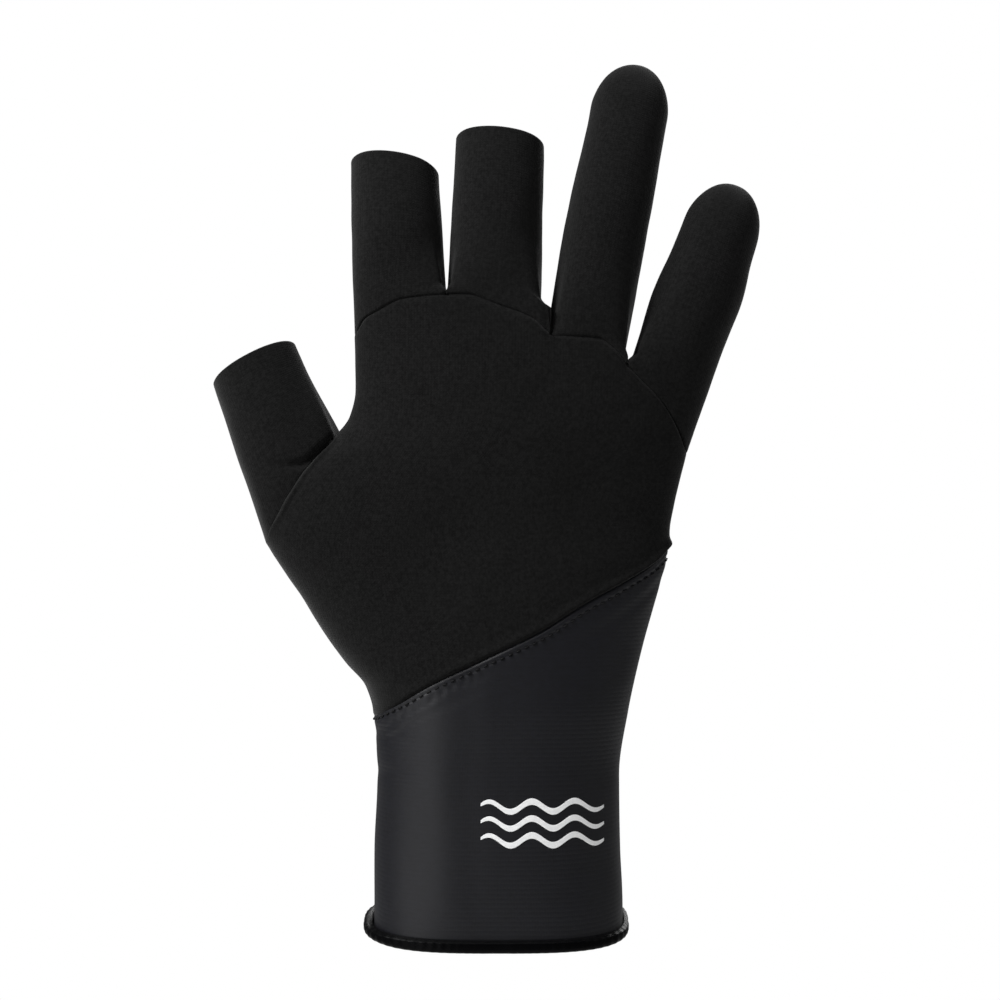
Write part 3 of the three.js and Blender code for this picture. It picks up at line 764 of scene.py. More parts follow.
@dataclass(frozen=True)
class ClothFinish:
    """A cloth's face: tone, fuzz and the loops or threads that it is made of.

    wide and high are one loop's sizes and deep how far it stands out, in millimetres. fleck is
    the size of the uneven spots that fuzz and lint give a dark cloth, cloud that of the wide
    patches of wear. patches is the share of the patches in the tone, and valley_shade that of the
    loops' height: painted shade that darkens the tone in the valleys of the weave. contrast is the
    range of noise that the spots are made of.
    """

    name: str
    colour: str
    light: str
    roughness: float
    specular: float
    sheen: float
    weave: Weave
    wide: float
    high: float
    deep: float
    fleck: float = 1.1
    cloud: float = 15.0
    patches: float = 0.2
    valley_shade: float = 0.15
    contrast: tuple[float, float] = (0.32, 0.68)
    fuzz_roughness: float = 0.45

    def relief(self, add: Callable[..., bpy.types.Node]) -> bpy.types.NodeSocket:
        """Adds the nodes for the height of the loops, from 0 to 1, and returns its socket."""

        def maths(operation: str, *values: object) -> bpy.types.NodeSocket:
            """One number worked out from up to three."""
            node = add("Math", dict(enumerate(values)), operation=operation)
            return node.outputs["Value"]

        place = add("UVMap", {}, uv_map="cloth").outputs["UV"]
        axes = add("SeparateXYZ", {"Vector": place}).outputs
        across = maths("DIVIDE", axes["X"], self.wide)
        up = maths("DIVIDE", axes["Y"], self.high)
        if self.weave is Weave.RIB:
            # the sine's absolute value: round ribs with sharp valleys, and fine threads on them
            rib = maths("ABSOLUTE", maths("SINE", maths("MULTIPLY", up, math.pi)))
            thread = maths("SINE", maths("MULTIPLY", across, 2 * math.pi))
            return maths("MULTIPLY_ADD", thread, 0.1, maths("MULTIPLY", rib, 0.9))
        if self.weave is Weave.PLAIN:
            warp = maths("SINE", maths("MULTIPLY", across, math.pi))
            weft = maths("SINE", maths("MULTIPLY", up, math.pi))
            return maths("MULTIPLY_ADD", maths("MULTIPLY", warp, weft), 0.5, 0.5)
        # a loop's two legs climb away from its middle, and a valley parts it from the next
        aside = maths("ABSOLUTE", maths("SUBTRACT", maths("FRACT", across), 0.5))
        legs = maths("SINE", maths("MULTIPLY", maths("ADD", up, aside), 2 * math.pi))
        valley = maths("SUBTRACT", 1.0, maths("POWER", maths("MULTIPLY", aside, 2.0), 4.0))
        return maths("MULTIPLY", maths("MULTIPLY_ADD", legs, 0.35, 0.65), valley)

    def material(self) -> bpy.types.Material:
        """Builds a principled shader whose tone follows flecks, patches and painted shade in the
        weave's valleys, and whose normal follows the loops and flecks.
        """
        made = bpy.data.materials.new(self.name)
        add = node_maker(made)

        def noise(size: float, detail: float) -> bpy.types.NodeSocket:
            """Noise in space with spots about size millimetres wide."""
            inputs = {"Vector": solid, "Scale": 1.0 / (size * MM), "Detail": detail}
            return add("TexNoise", inputs).outputs["Fac"]

        def blend(share: float, low: object, high: object) -> bpy.types.NodeSocket:
            """A number a share of the way from low to high."""
            return add("Mix", {0: share, 2: low, 3: high}).outputs[0]

        relief = self.relief(add)
        solid = add("TexCoord", {}).outputs["Object"]
        flecks, clouds = noise(self.fleck, 2.0), noise(self.cloud, 3.0)
        low, high = self.contrast
        spots = add("MapRange", {"Value": flecks, "From Min": low, "From Max": high})
        share = blend(self.patches, spots.outputs["Result"], clouds)
        # Painted shade: a share of the tone follows the weave's height, so it is darker in the
        # valleys between loops, ribs and threads.
        share = blend(self.valley_shade, share, relief)
        tones = {0: share, 6: linear(self.colour), 7: linear(self.light)}
        tone = add("Mix", tones, data_type="RGBA").outputs[2]
        height = blend(0.5, relief, flecks)
        bumps = {"Height": height, "Distance": self.deep * MM, "Strength": 1.0}
        shader = add("BsdfPrincipled", {
            "Base Color": tone,
            "Roughness": self.roughness,
            "Specular IOR Level": self.specular,
            "Sheen Weight": self.sheen,
            "Sheen Roughness": self.fuzz_roughness,
            "Normal": add("Bump", bumps).outputs["Normal"],
        })
        add("OutputMaterial", {"Surface": shader.outputs["BSDF"]})
        return made


# Chloroprene foam laminated with a fine jersey knit: dead matt black with a faint fuzz that
# catches light at grazing angles. The loops are drawn about twice as coarse as a real 0.45 mm.
KNIT_CHLOROPRENE = ClothFinish(
    "jersey_chloroprene", "#090909", "#191919", 0.95, 0.07, 0.12, Weave.JERSEY, 0.9, 0.75, 0.1, 1.0
)
# Ribbed warp-knit polyamide with elastane: charcoal with a blue cast and a soft satin light.
RIB_POLYAMIDE = ClothFinish(
    "ribbed_polyamide", "#04040a", "#090a12", 0.46, 0.41, 0.03, Weave.RIB, 0.8, 1.3, 0.05, 1.6
)
# Twisted polyester thread: black, with a faint gloss.
SEWING_THREAD = ClothFinish(
    "polyester_thread", "#030304", "#08080a", 0.6, 0.2, 0.0, Weave.PLAIN, 0.5, 0.3, 0.03
)
# Folded elastic tape: dense black plain weave that shines a little where it rolls away.
ELASTIC_TAPE = ClothFinish(
    "elastic_tape", "#010102", "#020203", 0.38, 0.06, 0.01, Weave.PLAIN, 0.55, 0.45, 0.05
)
# Transfer print: a silvery white film that lies on the ribs.
PRINT_FILM = ClothFinish(
    "transfer_film", "#f4f5f7", "#ffffff", 0.5, 0.4, 0.0, Weave.RIB, 0.8, 1.3, 0.04
)


@dataclass
class HandPanels:
    """The two cut sheets of the hand, from the wrist seam to the finger seam.

    A roll is the width and the depth of a rounded edge. Below and above the thumb hole the
    columns within about crowd_width degrees of the side are pushed up to crowd degrees inwards,
    so that they run smoothly past the hole's ends.
    """

    form: HandForm
    rows_below: int = 70
    rows_beside: int = 40
    rows_above: int = 50
    columns: int = 190
    crowd: float = 12.0
    crowd_width: float = 8.0
    waves: tuple[tuple[float, float], ...] = ((0.22, 34.0), (0.1, 13.0))
    finger_roll: tuple[float, float] = (1.0, 0.6)
    side_roll: tuple[float, float] = (1.0, 0.2)
    hole_roll_width: float = 0.8
    hole_roll_depths: tuple[float, float] = (0.05, 0.35)
    hem_roll_width: float = 0.9
    hem_roll_depths: tuple[float, float] = (0.25, 0.9)
    ridge_height: float = 0.5
    ridge_width: float = 0.8
    lip_height: float = 0.4
    lip_middle: float = 1.1
    lip_width: float = 1.5
    hole_gap: float = 0.03

    def grid(self, side: Side) -> Array:
        """The panel's outer surface before its edges and folds.

        Rows run from the wrist seam up; beside the thumb hole they start at its edge. A row is
        level at the hole, and further round it follows the seams.

        Args:
            side: Back or palm.

        Returns:
            Rows by columns by 3, with columns from the thumb's side to the little finger's.
        """
        form, s = self.form, self.form.sizes
        turns = np.linspace(0.0, 180.0, self.columns)[None, :]
        low = form.seam_at("wrist_seam", 0.0, 1.0)
        high = form.seam_at("finger_seam", 0.0, -1.0)
        around = 180.0 * (1.0 - np.linspace(0.0, 1.0, self.rows_beside))
        hole_z, hole_turn = form.hole_edge(around, side, self.hole_gap)
        below = np.linspace(0.0, 1.0, self.rows_below)[:-1]
        above = np.linspace(0.0, 1.0, self.rows_above)[1:]
        z = np.concatenate((mix(low, hole_z[0], below), hole_z, mix(hole_z[-1], high, above)))
        start = np.concatenate((0 * below, hole_turn, 0 * above))[:, None]
        level = np.concatenate((below, 1 + 0 * hole_z, 1 - above))[:, None]
        aside = np.maximum(start, self.crowd * level**3)
        spread = start + (aside - start) * (1 - np.exp(-turns / self.crowd_width))
        turned = turns + spread * np.maximum(0.0, 1 - turns / s.shift_until)
        past = (turned - s.level_until) / (s.follow_from - s.level_until)
        follow = mix(1.0, ease(past), level)
        up = (z[:, None] - low) / (high - low)
        bottom = form.seam_at("wrist_seam", turned, 1.0)
        top = form.seam_at("finger_seam", turned, -1.0)
        heights = z[:, None] + (mix(bottom, top, up) - mix(low, high, up)) * follow
        points = form.point(heights, turned, side)
        points[..., 1] += side.value * s.seam_gap / 2
        return points

    def edge_relief(self, side: Side, outer: Array, facing: Array) -> Array:
        """How far the panel's edges stand out, or sink where they roll off.

        Args:
            side: Back or palm.
            outer: The outer surface.
            facing: How far its normals point to the front or the back, from 0 to 1.

        Returns:
            One height a point.
        """
        thumb, little = ("s", "e") if side is Side.BACK else ("e", "s")
        level = mix(PRESSED_SHUT, 1.0, ease(facing))
        sunk = roll_off(edge_distance(outer, "l"), *self.finger_roll) * level
        sunk = np.maximum(sunk, roll_off(edge_distance(outer, little), *self.side_roll))
        # Beside the hole the panel's edge lies on the sleeve: a low ridge, which ends in the
        # side seam at the hole's lower end. The side seam hardly shows.
        near = edge_distance(outer, thumb)
        row = np.arange(len(outer))[:, None] - (self.rows_below - 1.0)
        beside = ramp(row, 3.0, 14.0) * ramp(row, self.rows_beside, -6.0)
        ridge = self.ridge_height * bump(near - self.ridge_width, self.ridge_width) * beside
        web = ramp(row, 0.6 * self.rows_beside, 0.3 * self.rows_beside)
        depth = mix(*self.hole_roll_depths, web)
        sunk = np.maximum(sunk, roll_off(near, self.hole_roll_width, depth))
        # The lower edge is turned under and stands a little proud of the cuff, most of all at
        # the little finger's side.
        low = edge_distance(outer, "f")
        x = outer[..., 0]
        proud = 0.1 + 0.9 * ramp(x, SEAM_FOOT, 25.0) + 1.3 * ramp(x, 40.0, 12.0)
        lip = self.lip_height * proud * bump(low - self.lip_middle, self.lip_width)
        depth = mix(*self.hem_roll_depths, ramp(x, SEAM_FOOT, 12.0))
        return ridge + lip - np.maximum(sunk, roll_off(low, self.hem_roll_width, depth))

    def build(self, side: Side, material: bpy.types.Material) -> None:
        """Builds the panel of one side from its finish."""
        outer = self.grid(side)
        if side is Side.PALM:
            outer = outer[:, ::-1]
        normals = grid_normals(outer, False)
        relief = unevenness(outer, self.waves) - sunk_by(PANEL_CREASES, outer, normals)
        outer = outer + normals * relief[..., None]
        inner = outer - normals * self.form.sizes.sheet
        edges = self.edge_relief(side, outer, np.abs(normals[..., 1]))
        outer = outer + normals * edges[..., None]
        name = f"{side.name.lower()}_panel"
        wall = shell(outer, inner, False)
        piece = make_piece(f"{name}_cloth", wall, material, (name,))
        declare_sheet(outer, False)


# Folds of the hand's sheets and of the sleeves, as rows of x, z and strength.
PANEL_CREASES = (
    # a soft hollow from the thumb's web across the ball of the thumb
    Crease(((-48.0, 147.5, 0.4), (-40.0, 138.0, 1.0), (-33.0, 124.0, 0.6), (-30.0, 110.0, 0.0)),
           5.0, 0.35),
    # below the webs of the middle, ring and little finger
    Crease(((16.8, 181.2, 1.0), (17.4, 178.5, 0.4), (18.4, 174.0, 0.0)), 1.4, 0.35),
    Crease(((39.6, 172.0, 1.0), (38.0, 168.0, 0.5), (36.5, 162.0, 0.0)), 1.6, 0.35),
    # the palm's lines
    Crease(((-40.0, 152.0, 0.0), (-28.0, 150.0, 1.0), (-12.0, 138.0, 1.0), (-4.0, 118.0, 0.6),
            (-4.0, 96.0, 0.0)), 3.2, 1.1, Side.PALM),
    Crease(((-34.0, 160.0, 0.0), (-14.0, 158.0, 1.0), (12.0, 150.0, 1.0), (38.0, 138.0, 0.0)),
           3.0, 0.9, Side.PALM),
    Crease(((-20.0, 176.0, 0.0), (4.0, 171.0, 0.9), (30.0, 162.0, 1.0), (54.0, 148.0, 0.3)),
           3.0, 0.8, Side.PALM),
)
SLEEVE_CREASES = {
    # the thumb's fold, along its seam from the web and then across the sleeve
    "thumb": (
        Crease(((-48.6, 149.8, 0.9), (-53.4, 146.2, 1.0), (-56.6, 142.9, 1.0), (-59.2, 141.6, 1.0),
                (-63.5, 141.2, 0.6), (-70.0, 141.6, 0.0)), 1.35, 1.2),
    ),
    "index": (),
    "middle": (Crease(((15.4, 188.5, 0.0), (16.0, 185.5, 1.0), (16.6, 181.0, 1.0)), 1.5, 1.0),),
    "ring": (Crease(((16.4, 188.0, 0.5), (16.6, 185.0, 1.0), (16.8, 181.0, 1.0)), 0.9, 0.3),),
    "little": (),
}


@dataclass(frozen=True)
class Bulge:
    """A hollow of a sleeve's rings, or a swelling where deep is below 0.

    at and wide are degrees round the sleeve, 0 at the little finger's side and 90 at the back,
    up and tall are shares of its length, and deep is a share of finger_depth.
    """

    at: float
    up: float
    wide: float
    tall: float
    deep: float


@dataclass(frozen=True)
class SleeveSizes:
    """One finger sleeve: length from the web, end section, lean, bend and slant of its cut."""

    name: str
    length: float
    end_width: float
    end_depth: float
    lean: float
    bend: float
    slant: float = 0.0
    closed: bool = False
    bulges: tuple[Bulge, ...] = ()


SLEEVES = (
    SleeveSizes("thumb", 29.0, 27.8, 25, -20.5, 15, 7.5),
    SleeveSizes("index", 39.4, 27.1, 23, -2.6, 24, -11.5),
    SleeveSizes("middle", 47.6, 27.2, 23, 2.1, 20, -3.8, bulges=(Bulge(28, 0.05, 22, 0.1, 0.02),)),
    SleeveSizes("ring", 80.6, 24.0, 22, 10.75, 27, closed=True, bulges=(
        Bulge(180, 0.42, 70, 0.38, -0.05),
    )),
    SleeveSizes("little", 62.2, 23.8, 22, 19.7, 24, closed=True, bulges=(
        Bulge(150, 0.05, 24, 0.07, 0.035),
        Bulge(180, 0.5, 60, 0.24, -0.05),
        Bulge(0, 0.6, 60, 0.2, -0.045),
    )),
)


@dataclass
class Anchor:
    """One side of a sleeve's foot, and how its neighbour holds it.

    It is held so high above the seam, keeps to the neighbour's line until a height, and then
    leaves it on a quarter circle if rounded is 1, or on a soft bend if it is 0.
    """

    place: Array
    held: float = 0.0
    until: float = 0.0
    rounded: float = 0.0


class Shaft:
    """Superellipse rings along a sleeve's leaning axis, which bends on an arc."""

    def __init__(
        self, size: SleeveSizes, sizes: GloveSizes, angles: Array, left: Array, right: Array
    ) -> None:
        """Sets the axis up midway between the foot's two sides.

        Args:
            size: The sleeve.
            sizes: The glove's driving sizes.
            angles: Angles of a ring's points.
            left: Place of the foot's side towards the thumb.
            right: Place of its other side.
        """
        self.size, self.sizes, self.angles = size, sizes, angles
        lean = math.radians(size.lean)
        self.along = np.array((math.sin(lean), 0.0, math.cos(lean)))
        self.across = np.array((math.cos(lean), 0.0, -math.sin(lean)))
        low, high = left @ self.across, right @ self.across
        top = max(left @ self.along, right @ self.along)
        self.start = self.across * (low + high) / 2 + self.along * top
        self.start[1] = sizes.thumb_set if size.name == "thumb" else 0.0
        self.width = high - low
        self.cap = sizes.tip_roundness * size.end_width / 2 if size.closed else 0.0
        self.length = size.length - self.cap

    def hollow(self, share: Array) -> Array | float:
        """How far the bulges draw the rings in, at shares of the shaft's length."""
        total = 0.0
        for bulge in self.size.bulges:
            aside = (np.mod(self.angles - bulge.at + 540, 360) - 180) / bulge.wide
            bell = np.exp(-(aside**2) - ((share - bulge.up) / bulge.tall) ** 2)
            total = total + bulge.deep * self.sizes.finger_depth * bell
        return total

    def ring(self, length: Array, shrink: Array | float = 1.0) -> Array:
        """Rings at lengths along the axis, drawn in by shrink towards it."""
        size, s = self.size, self.sizes
        length = np.asarray(length, float)[:, None]
        shrink = np.broadcast_to(np.asarray(shrink, float), length[:, 0].shape)[:, None]
        share = np.clip(length / self.length, 0.0, 1.0)
        turn = math.radians(size.bend) * (length / (self.length + self.cap))
        out = turn * length / 2
        place = self.start + self.along * length[..., None] + stacked(0.0, out, 0.0)
        direction = self.along * np.cos(turn)[..., None] + stacked(0.0, np.sin(turn), 0.0)
        deep = np.cross(self.across, direction)
        hollow = self.hollow(length / self.length)
        wide = mix(self.width, size.end_width, share) / 2 - hollow
        thick = mix(s.finger_depth, size.end_depth, share) / 2 - hollow
        x = powered(np.cos(radians(self.angles)), s.sleeve_power) * wide * shrink
        y = powered(np.sin(radians(self.angles)), s.sleeve_power) * thick * shrink
        slant = 0.0 if size.closed else math.tan(math.radians(size.slant))
        cut = x * slant * share
        steps = ((self.across, x), (deep, y), (direction, cut))
        return place + sum(way * reach[..., None] for way, reach in steps)


@dataclass
class FingerSleeves:
    """The five sleeves of the fingers, each on its edge of the hand.

    A groove is the width and the depth of the rounded edge at the seam; thumb_groove has its
    depths at the web and at the hole's lower end. thumb_aside moves the thumb's foot outwards.
    The cloth's waves are full at the calm distances from the seam, on free faces and beside
    webs. Two sleeves have parted at parting_end times their web's rise, and their walls press
    fully on each other from press_from millimetres up.
    """

    form: HandForm
    rows: int = 80
    crowding: float = 1.25
    arc_columns: int = 40
    wall_columns: int = 12
    tip_rows: int = 22
    waves: tuple[tuple[float, float], ...] = ((0.16, 26.0), (0.07, 11.0))
    calm: tuple[float, float] = (12.0, 25.0)
    parting_end: float = 1.15
    press_from: float = 1.5
    rim_bulge: float = 0.2
    groove: tuple[float, float] = (1.1, 0.7)
    thumb_groove_width: float = 1.4
    thumb_groove: tuple[float, float] = (0.8, 0.03)
    thumb_aside: float = 0.6

    def finger_base(self, left: float, right: float) -> tuple[Array, Array]:
        """A finger's edge on the finger seam.

        Args:
            left: Turn of its thumb-side end.
            right: Turn of its other end.

        Returns:
            Angles round the sleeve, and the points of its outer edge.
        """
        form, s = self.form, self.form.sizes
        corner_left = s.web_corner if left > 0 else 0.0
        corner_right = s.web_corner if right < 180 else 0.0
        share = np.linspace(0.0, 1.0, self.arc_columns)

        def arc(side: Side) -> tuple[Array, Array]:
            """The edge over one side of the hand, from right to left."""
            turn = mix(right, left, share)
            z = form.height_met("finger_seam", turn) + form.gap_up("finger_seam", turn)
            points = form.point(z, turn, side)
            if corner_right:
                points[0, 0] -= s.web_gap / 2
            if corner_left:
                points[-1, 0] += s.web_gap / 2
            return mix(corner_right, 180 - corner_left, share) * -side.value, points

        (back_angle, back), (palm_angle, palm) = arc(Side.BACK), arc(Side.PALM)
        between = np.linspace(0.0, 1.0, self.wall_columns)[1:-1]
        angles, points = [back_angle], [back]
        if corner_left:
            angles.append(mix(back_angle[-1], 180 + corner_left, between))
            points.append(mix(back[-1], palm[-1], between[:, None]))
        cut = slice(0 if corner_right else 1, None if corner_left else -1)
        angles.append(palm_angle[cut][::-1])
        points.append(palm[cut][::-1])
        if corner_right:
            angles.append(mix(palm_angle[0], back_angle[0], between))
            points.append(mix(palm[0], back[0], between[:, None]))
        return np.concatenate(angles), np.concatenate(points)

    def thumb_base(self) -> tuple[Array, Array]:
        """The thumb's edge in its hole, as angles and points."""
        share = np.linspace(0.0, 1.0, 2 * self.arc_columns)

        def half(side: Side) -> tuple[Array, Array]:
            """The edge over one side of the hand, from the web down."""
            z, turn = self.form.hole_edge(180 * share, side, -HandPanels.hole_gap)
            return 180 * share * -side.value, self.form.point(z, turn, side)

        (a, back), (b, palm) = half(Side.BACK), half(Side.PALM)
        return np.concatenate((a, b[1:-1][::-1])), np.concatenate((back, palm[1:-1][::-1]))

    def thumb_anchor(self, angle: float) -> Anchor:
        """The side of the thumb's foot at an angle about its hole."""
        z, _ = self.form.hole_edge(np.array(angle), Side.BACK, 0.0)
        place = self.form.point(z, 0.0, Side.BACK)
        return Anchor(np.array((place[0] - self.thumb_aside, 0.0, place[2])))

    def anchor(self, end: int, outwards: int) -> Anchor:
        """The side of a finger's foot at a web's number, outwards 1 on the web's thumb side."""
        form, s = self.form, self.form.sizes
        turn = form.web_turns[end]
        place = form.point(form.height_met("finger_seam", turn), turn, Side.BACK)
        place[1] = 0.0
        if not 0 < end < len(form.web_turns) - 1:
            return Anchor(place)
        web = {name: column[end - 1] for name, column in WEBS.items()}
        place[0] += (web["aside"] - outwards * web["width"] / 2) * s.finger_depth
        held = web["rise"] * s.finger_depth
        place[2] += held
        return Anchor(place, held, held * web["before" if outwards > 0 else "after"], web["round"])

    def surface(self, size: SleeveSizes) -> tuple[Array, Array]:
        """The sleeve's outer surface.

        The shaft's first rings are pulled onto the seam's edge, and the pull fades along the
        sleeve, crosswise sooner where a neighbour holds it.

        Args:
            size: The sleeve.

        Returns:
            Rows by columns by 3, and the angles of its columns.
        """
        s = self.form.sizes
        if size.name == "thumb":
            angles, base = self.thumb_base()
            left, right = self.thumb_anchor(180.0), self.thumb_anchor(0.0)
        else:
            i = [sleeve.name for sleeve in SLEEVES].index(size.name) - 1
            angles, base = self.finger_base(*self.form.web_turns[i : i + 2])
            left, right = self.anchor(i, -1), self.anchor(i + 1, 1)
        shaft = Shaft(size, s, angles, left.place, right.place)
        whole = base - shaft.ring(np.zeros(1))[0]
        lengthwise = shaft.along * (whole @ shaft.along)[:, None]
        crosswise = whole - lengthwise
        lengths = np.linspace(0.0, 1.0, self.rows) ** self.crowding * shaft.length
        fades = shaft.length
        if size.name != "thumb":
            fades = min(fades, s.seam_blend * s.finger_depth)
        cosine = np.cos(radians(angles))
        held, until, rounded = (
            np.where(cosine > 0, getattr(right, name), getattr(left, name))
            for name in ("held", "until", "rounded")
        )
        beside = np.where(held > 0, np.abs(cosine) ** s.web_focus, 0.0)
        fade = 1 - ease(lengths / fades)[:, None]
        rise = lengths[:, None] + held * (1 - fade)
        parting = np.maximum(s.web_blend * s.finger_depth, held * self.parting_end - until)
        share = np.clip((rise - until) / parting, 0.0, 1.0)
        parted = mix(ease(share), np.sqrt(share * (2 - share)), rounded)
        apart = mix(fade, 1 - parted, beside)
        points = shaft.ring(lengths) + lengthwise * fade[..., None] + crosswise * apart[..., None]
        # Where two fingers are held together their walls press on each other.
        press = s.web_press * np.sign(cosine) * beside * (1 - parted) * ease(rise / self.press_from)
        points = points + shaft.across * press[..., None]
        if size.closed:
            step = radians(np.linspace(0.0, 90.0, self.tip_rows + 1)[1:-1])
            tip = shaft.ring(shaft.length + shaft.cap * np.sin(step), np.cos(step))
            points = np.concatenate((points, tip))
        return points, angles

    def build(self, size: SleeveSizes, material: bpy.types.Material) -> None:
        """Builds one sleeve from its finish."""
        outer, angles = self.surface(size)
        normals = grid_normals(outer, True)
        if np.sum((outer[2] - outer[2].mean(axis=0)) * normals[2]) < 0:
            outer, angles = outer[:, ::-1], angles[::-1]
            normals = grid_normals(outer, True)
        near = edge_distance(outer, "f")
        level = np.abs(normals[..., 1])
        open_, pressed = (ease(near / reach) for reach in self.calm)
        free = open_ * mix(pressed, 1.0, ease(2 * level))
        relief = unevenness(outer, self.waves) * free
        relief = relief - sunk_by(SLEEVE_CREASES[size.name], outer, normals)
        outer = outer + normals * relief[..., None]
        inner = outer - normals * self.form.sizes.sheet
        if size.name == "thumb":
            # shallow towards the hole's lower end, where the seam fades into the side
            lower = ramp(np.abs(np.mod(angles + 180, 360) - 180), 30.0, 55.0)
            sunk = roll_off(near, self.thumb_groove_width, mix(*self.thumb_groove, lower))
        else:
            sunk = roll_off(near, *self.groove) * mix(PRESSED_SHUT, 1.0, ease(level))
        outer = outer - normals * sunk[..., None]
        node = f"{size.name}_sleeve"
        wall = shell(outer, inner, True, tip=size.closed, bulge=self.rim_bulge)
        piece = make_piece(f"{node}_cloth", wall, material, (node,))
        declare_sheet(outer, True)


@dataclass(frozen=True)
class Folds:
    """Parallel folds in a band below the seam: height, wavelength, the band's middle and width."""

    high: float
    pitch: float
    middle: float
    wide: float

    def height(self, way: Array, below: Array, shift: Array | float = 0.0) -> Array:
        """The folds' height: a sine of the way across them, in a bell of the way down."""
        wave = np.sin(2 * math.pi * way / self.pitch + shift)
        return self.high * wave * bump(below - self.middle, self.wide)


@dataclass
class Cuff:
    """The ribbed cuff, the stitches below the wrist seam and the tape that binds its mouth.

    stitch_drop is how far below the seam the stitches run at the thumb's and at the little
    finger's side. Each of the nips, folds across the thumb's side, is a height and a width.
    broad and rib_wander are the heights and lengths of soft waves, print_wave the same of the
    print's lines, and film how far the print's two faces lie above the cuff.
    """

    form: HandForm
    columns: int = 322
    rows: int = 250
    inner_rows: int = 40
    gathers: Folds = Folds(0.06, 3.1, 3.2, 1.6)
    drags: Folds = Folds(0.06, 4.4, 5.0, 4.5)
    loose: Folds = Folds(0.11, 9.0, 8.0, 6.0)
    flutes: Folds = Folds(0.14, 19.0, 0.0, math.inf)
    nips: tuple[tuple[float, float], ...] = ((59.5, 1.8), (48.5, 2.4))
    nip_depth: float = 0.25
    allowance: float = 0.11
    groove_depth: float = 0.14
    broad: tuple[float, float] = (0.3, 46.0)
    set_in: float = 0.1
    rib_wander: tuple[float, float] = (0.3, 45.0)
    seam_roll_depths: tuple[float, float] = (0.04, 0.3)
    stitch_drop: tuple[float, float] = (0.7, 2.3)
    stitch_pitch: float = 2.7
    stitch_length: float = 1.7
    stitch_lift: float = 0.12
    stitch_dive: float = 0.45
    thread: float = 0.5
    gather_pitch: float = 2.6
    gather_depth: float = 0.09
    tape_height: float = 3.9
    tape_swell: float = 0.35
    print_from: float = -5.6
    print_to: float = 32.8
    print_heights: tuple[float, ...] = (29.4, 34.4, 39.4)
    print_wave: tuple[float, float] = (1.5, 12.8)
    print_half: float = 0.95
    film: tuple[float, float] = (0.12, 0.03)

    def turns(self) -> Array:
        """Turns of the columns over one side."""
        return np.linspace(0.0, 180.0, self.columns // 2)

    def ring(self, heights: dict[Side, Array], depth: Array | float) -> Array:
        """Rows round the whole cuff, over the back and then over the palm.

        Args:
            heights: Rows by columns of each side.
            depth: How far inside the outer surface.

        Returns:
            Rows by columns by 3.
        """
        turns = self.turns()
        back, palm = (self.form.within(heights[side], turns, side, depth) for side in Side)
        return np.concatenate((back, palm[:, 1:-1][:, ::-1]), axis=1)

    def surface(self, rows: int, depth: float) -> Array:
        """The cuff's surface between its foot and the wrist seam, in even rows."""
        form, s = self.form, self.form.sizes
        turns = self.turns()
        top = form.seam_at("wrist_seam", turns, -1.0)
        foot = s.tape + s.seam_gap
        share = np.linspace(0.0, 1.0, rows)[:, None]
        heights = {side: mix(form.mouth(turns, side) + foot, top, share) for side in Side}
        return self.ring(heights, depth)

    def rib_level(self, points: Array) -> Array:
        """Height along the ribs, which follow the mouth's curve near it and wander a little."""
        s = self.form.sizes
        lift = s.mouth_drop * np.clip(points[..., 1] / (s.wrist_depth / 2), -1, 1)
        fade = np.clip(1 - points[..., 2] / s.cuff_length, 0, 1)
        return points[..., 2] - lift * fade + unevenness(points, (self.rib_wander,))

    def drop(self, x: Array) -> Array:
        """How far below the seam the stitches run: further towards the little finger."""
        return mix(*self.stitch_drop, ramp(x, SEAM_FOOT, 70.0))

    def puckers(self, points: Array, below: Array) -> Array:
        """Height of gathers and dragged folds, at places and their ways down from the seam."""
        x, z = points[..., 0], points[..., 2]
        short = self.gathers.height(x, below, ripple(points, 9.0))
        drags = self.drags.height(below - 0.4, below, 2.2 * ripple(points, 17.0))
        loose = self.loose.height(below + 0.12 * x, below)
        nips = sum(bump(z - level, wide) for level, wide in self.nips)
        towards_thumb, away = ramp(x, 8.0, -30.0), ramp(x, 12.0, 20.0)
        beside = ramp(x, -22.0, -14.0)
        return short + drags * towards_thumb + loose * away - self.nip_depth * nips * beside

    def height(self, points: Array, below: Array) -> Array:
        """How far the cuff's face stands off its form, at places and their ways from the seam."""
        x, z = points[..., 0], points[..., 2]
        drop = self.drop(x)
        # Over the back and the little finger's side the seam allowance, folded down under the
        # edge, lifts the cloth above the stitches.
        raised = self.allowance * ease((drop - below) / 0.7 + 0.5) * ease(below / 0.9)
        raised = raised * ramp(x, -25.0, 40.0)
        groove = self.groove_depth * bump(below - drop - 0.15, 0.4)
        foot = ramp(z, -2.0, 14.0)
        broad = unevenness(points, (self.broad,)) * ease(below / 12.0) * foot
        # Soft flutes run down the thumb's half of the back.
        flutes = self.flutes.height(x + 0.06 * z + 1.3 * ripple(points, 30.0), below)
        flutes = flutes * ramp(x, 4.0, -14.0) * ramp(x, SEAM_FOOT, 8.0) * foot
        return self.puckers(points, below) + raised + broad + flutes - groove - self.set_in

    def build_cuff(self, material: bpy.types.Material) -> None:
        """Builds the tube of ribbed fabric."""
        s = self.form.sizes
        outer = self.surface(self.rows, 0.0)
        inner = self.surface(self.inner_rows, s.cuff_sheet)
        normals = grid_normals(outer, True)
        below = edge_distance(outer, "l")
        cloth, _ = cloth_places(outer, True)
        cloth[..., 1] = self.rib_level(outer)
        depth = mix(*self.seam_roll_depths, ramp(outer[..., 0], -30.0, 30.0))
        height = self.height(outer, below) - roll_off(below, 0.8, depth)
        outer = outer + normals * height[..., None]
        wall = shell(outer, inner, True, cloth=cloth)
        piece = make_piece("cuff_cloth", wall, material, ("cuff",))
        declare_sheet(outer, True)

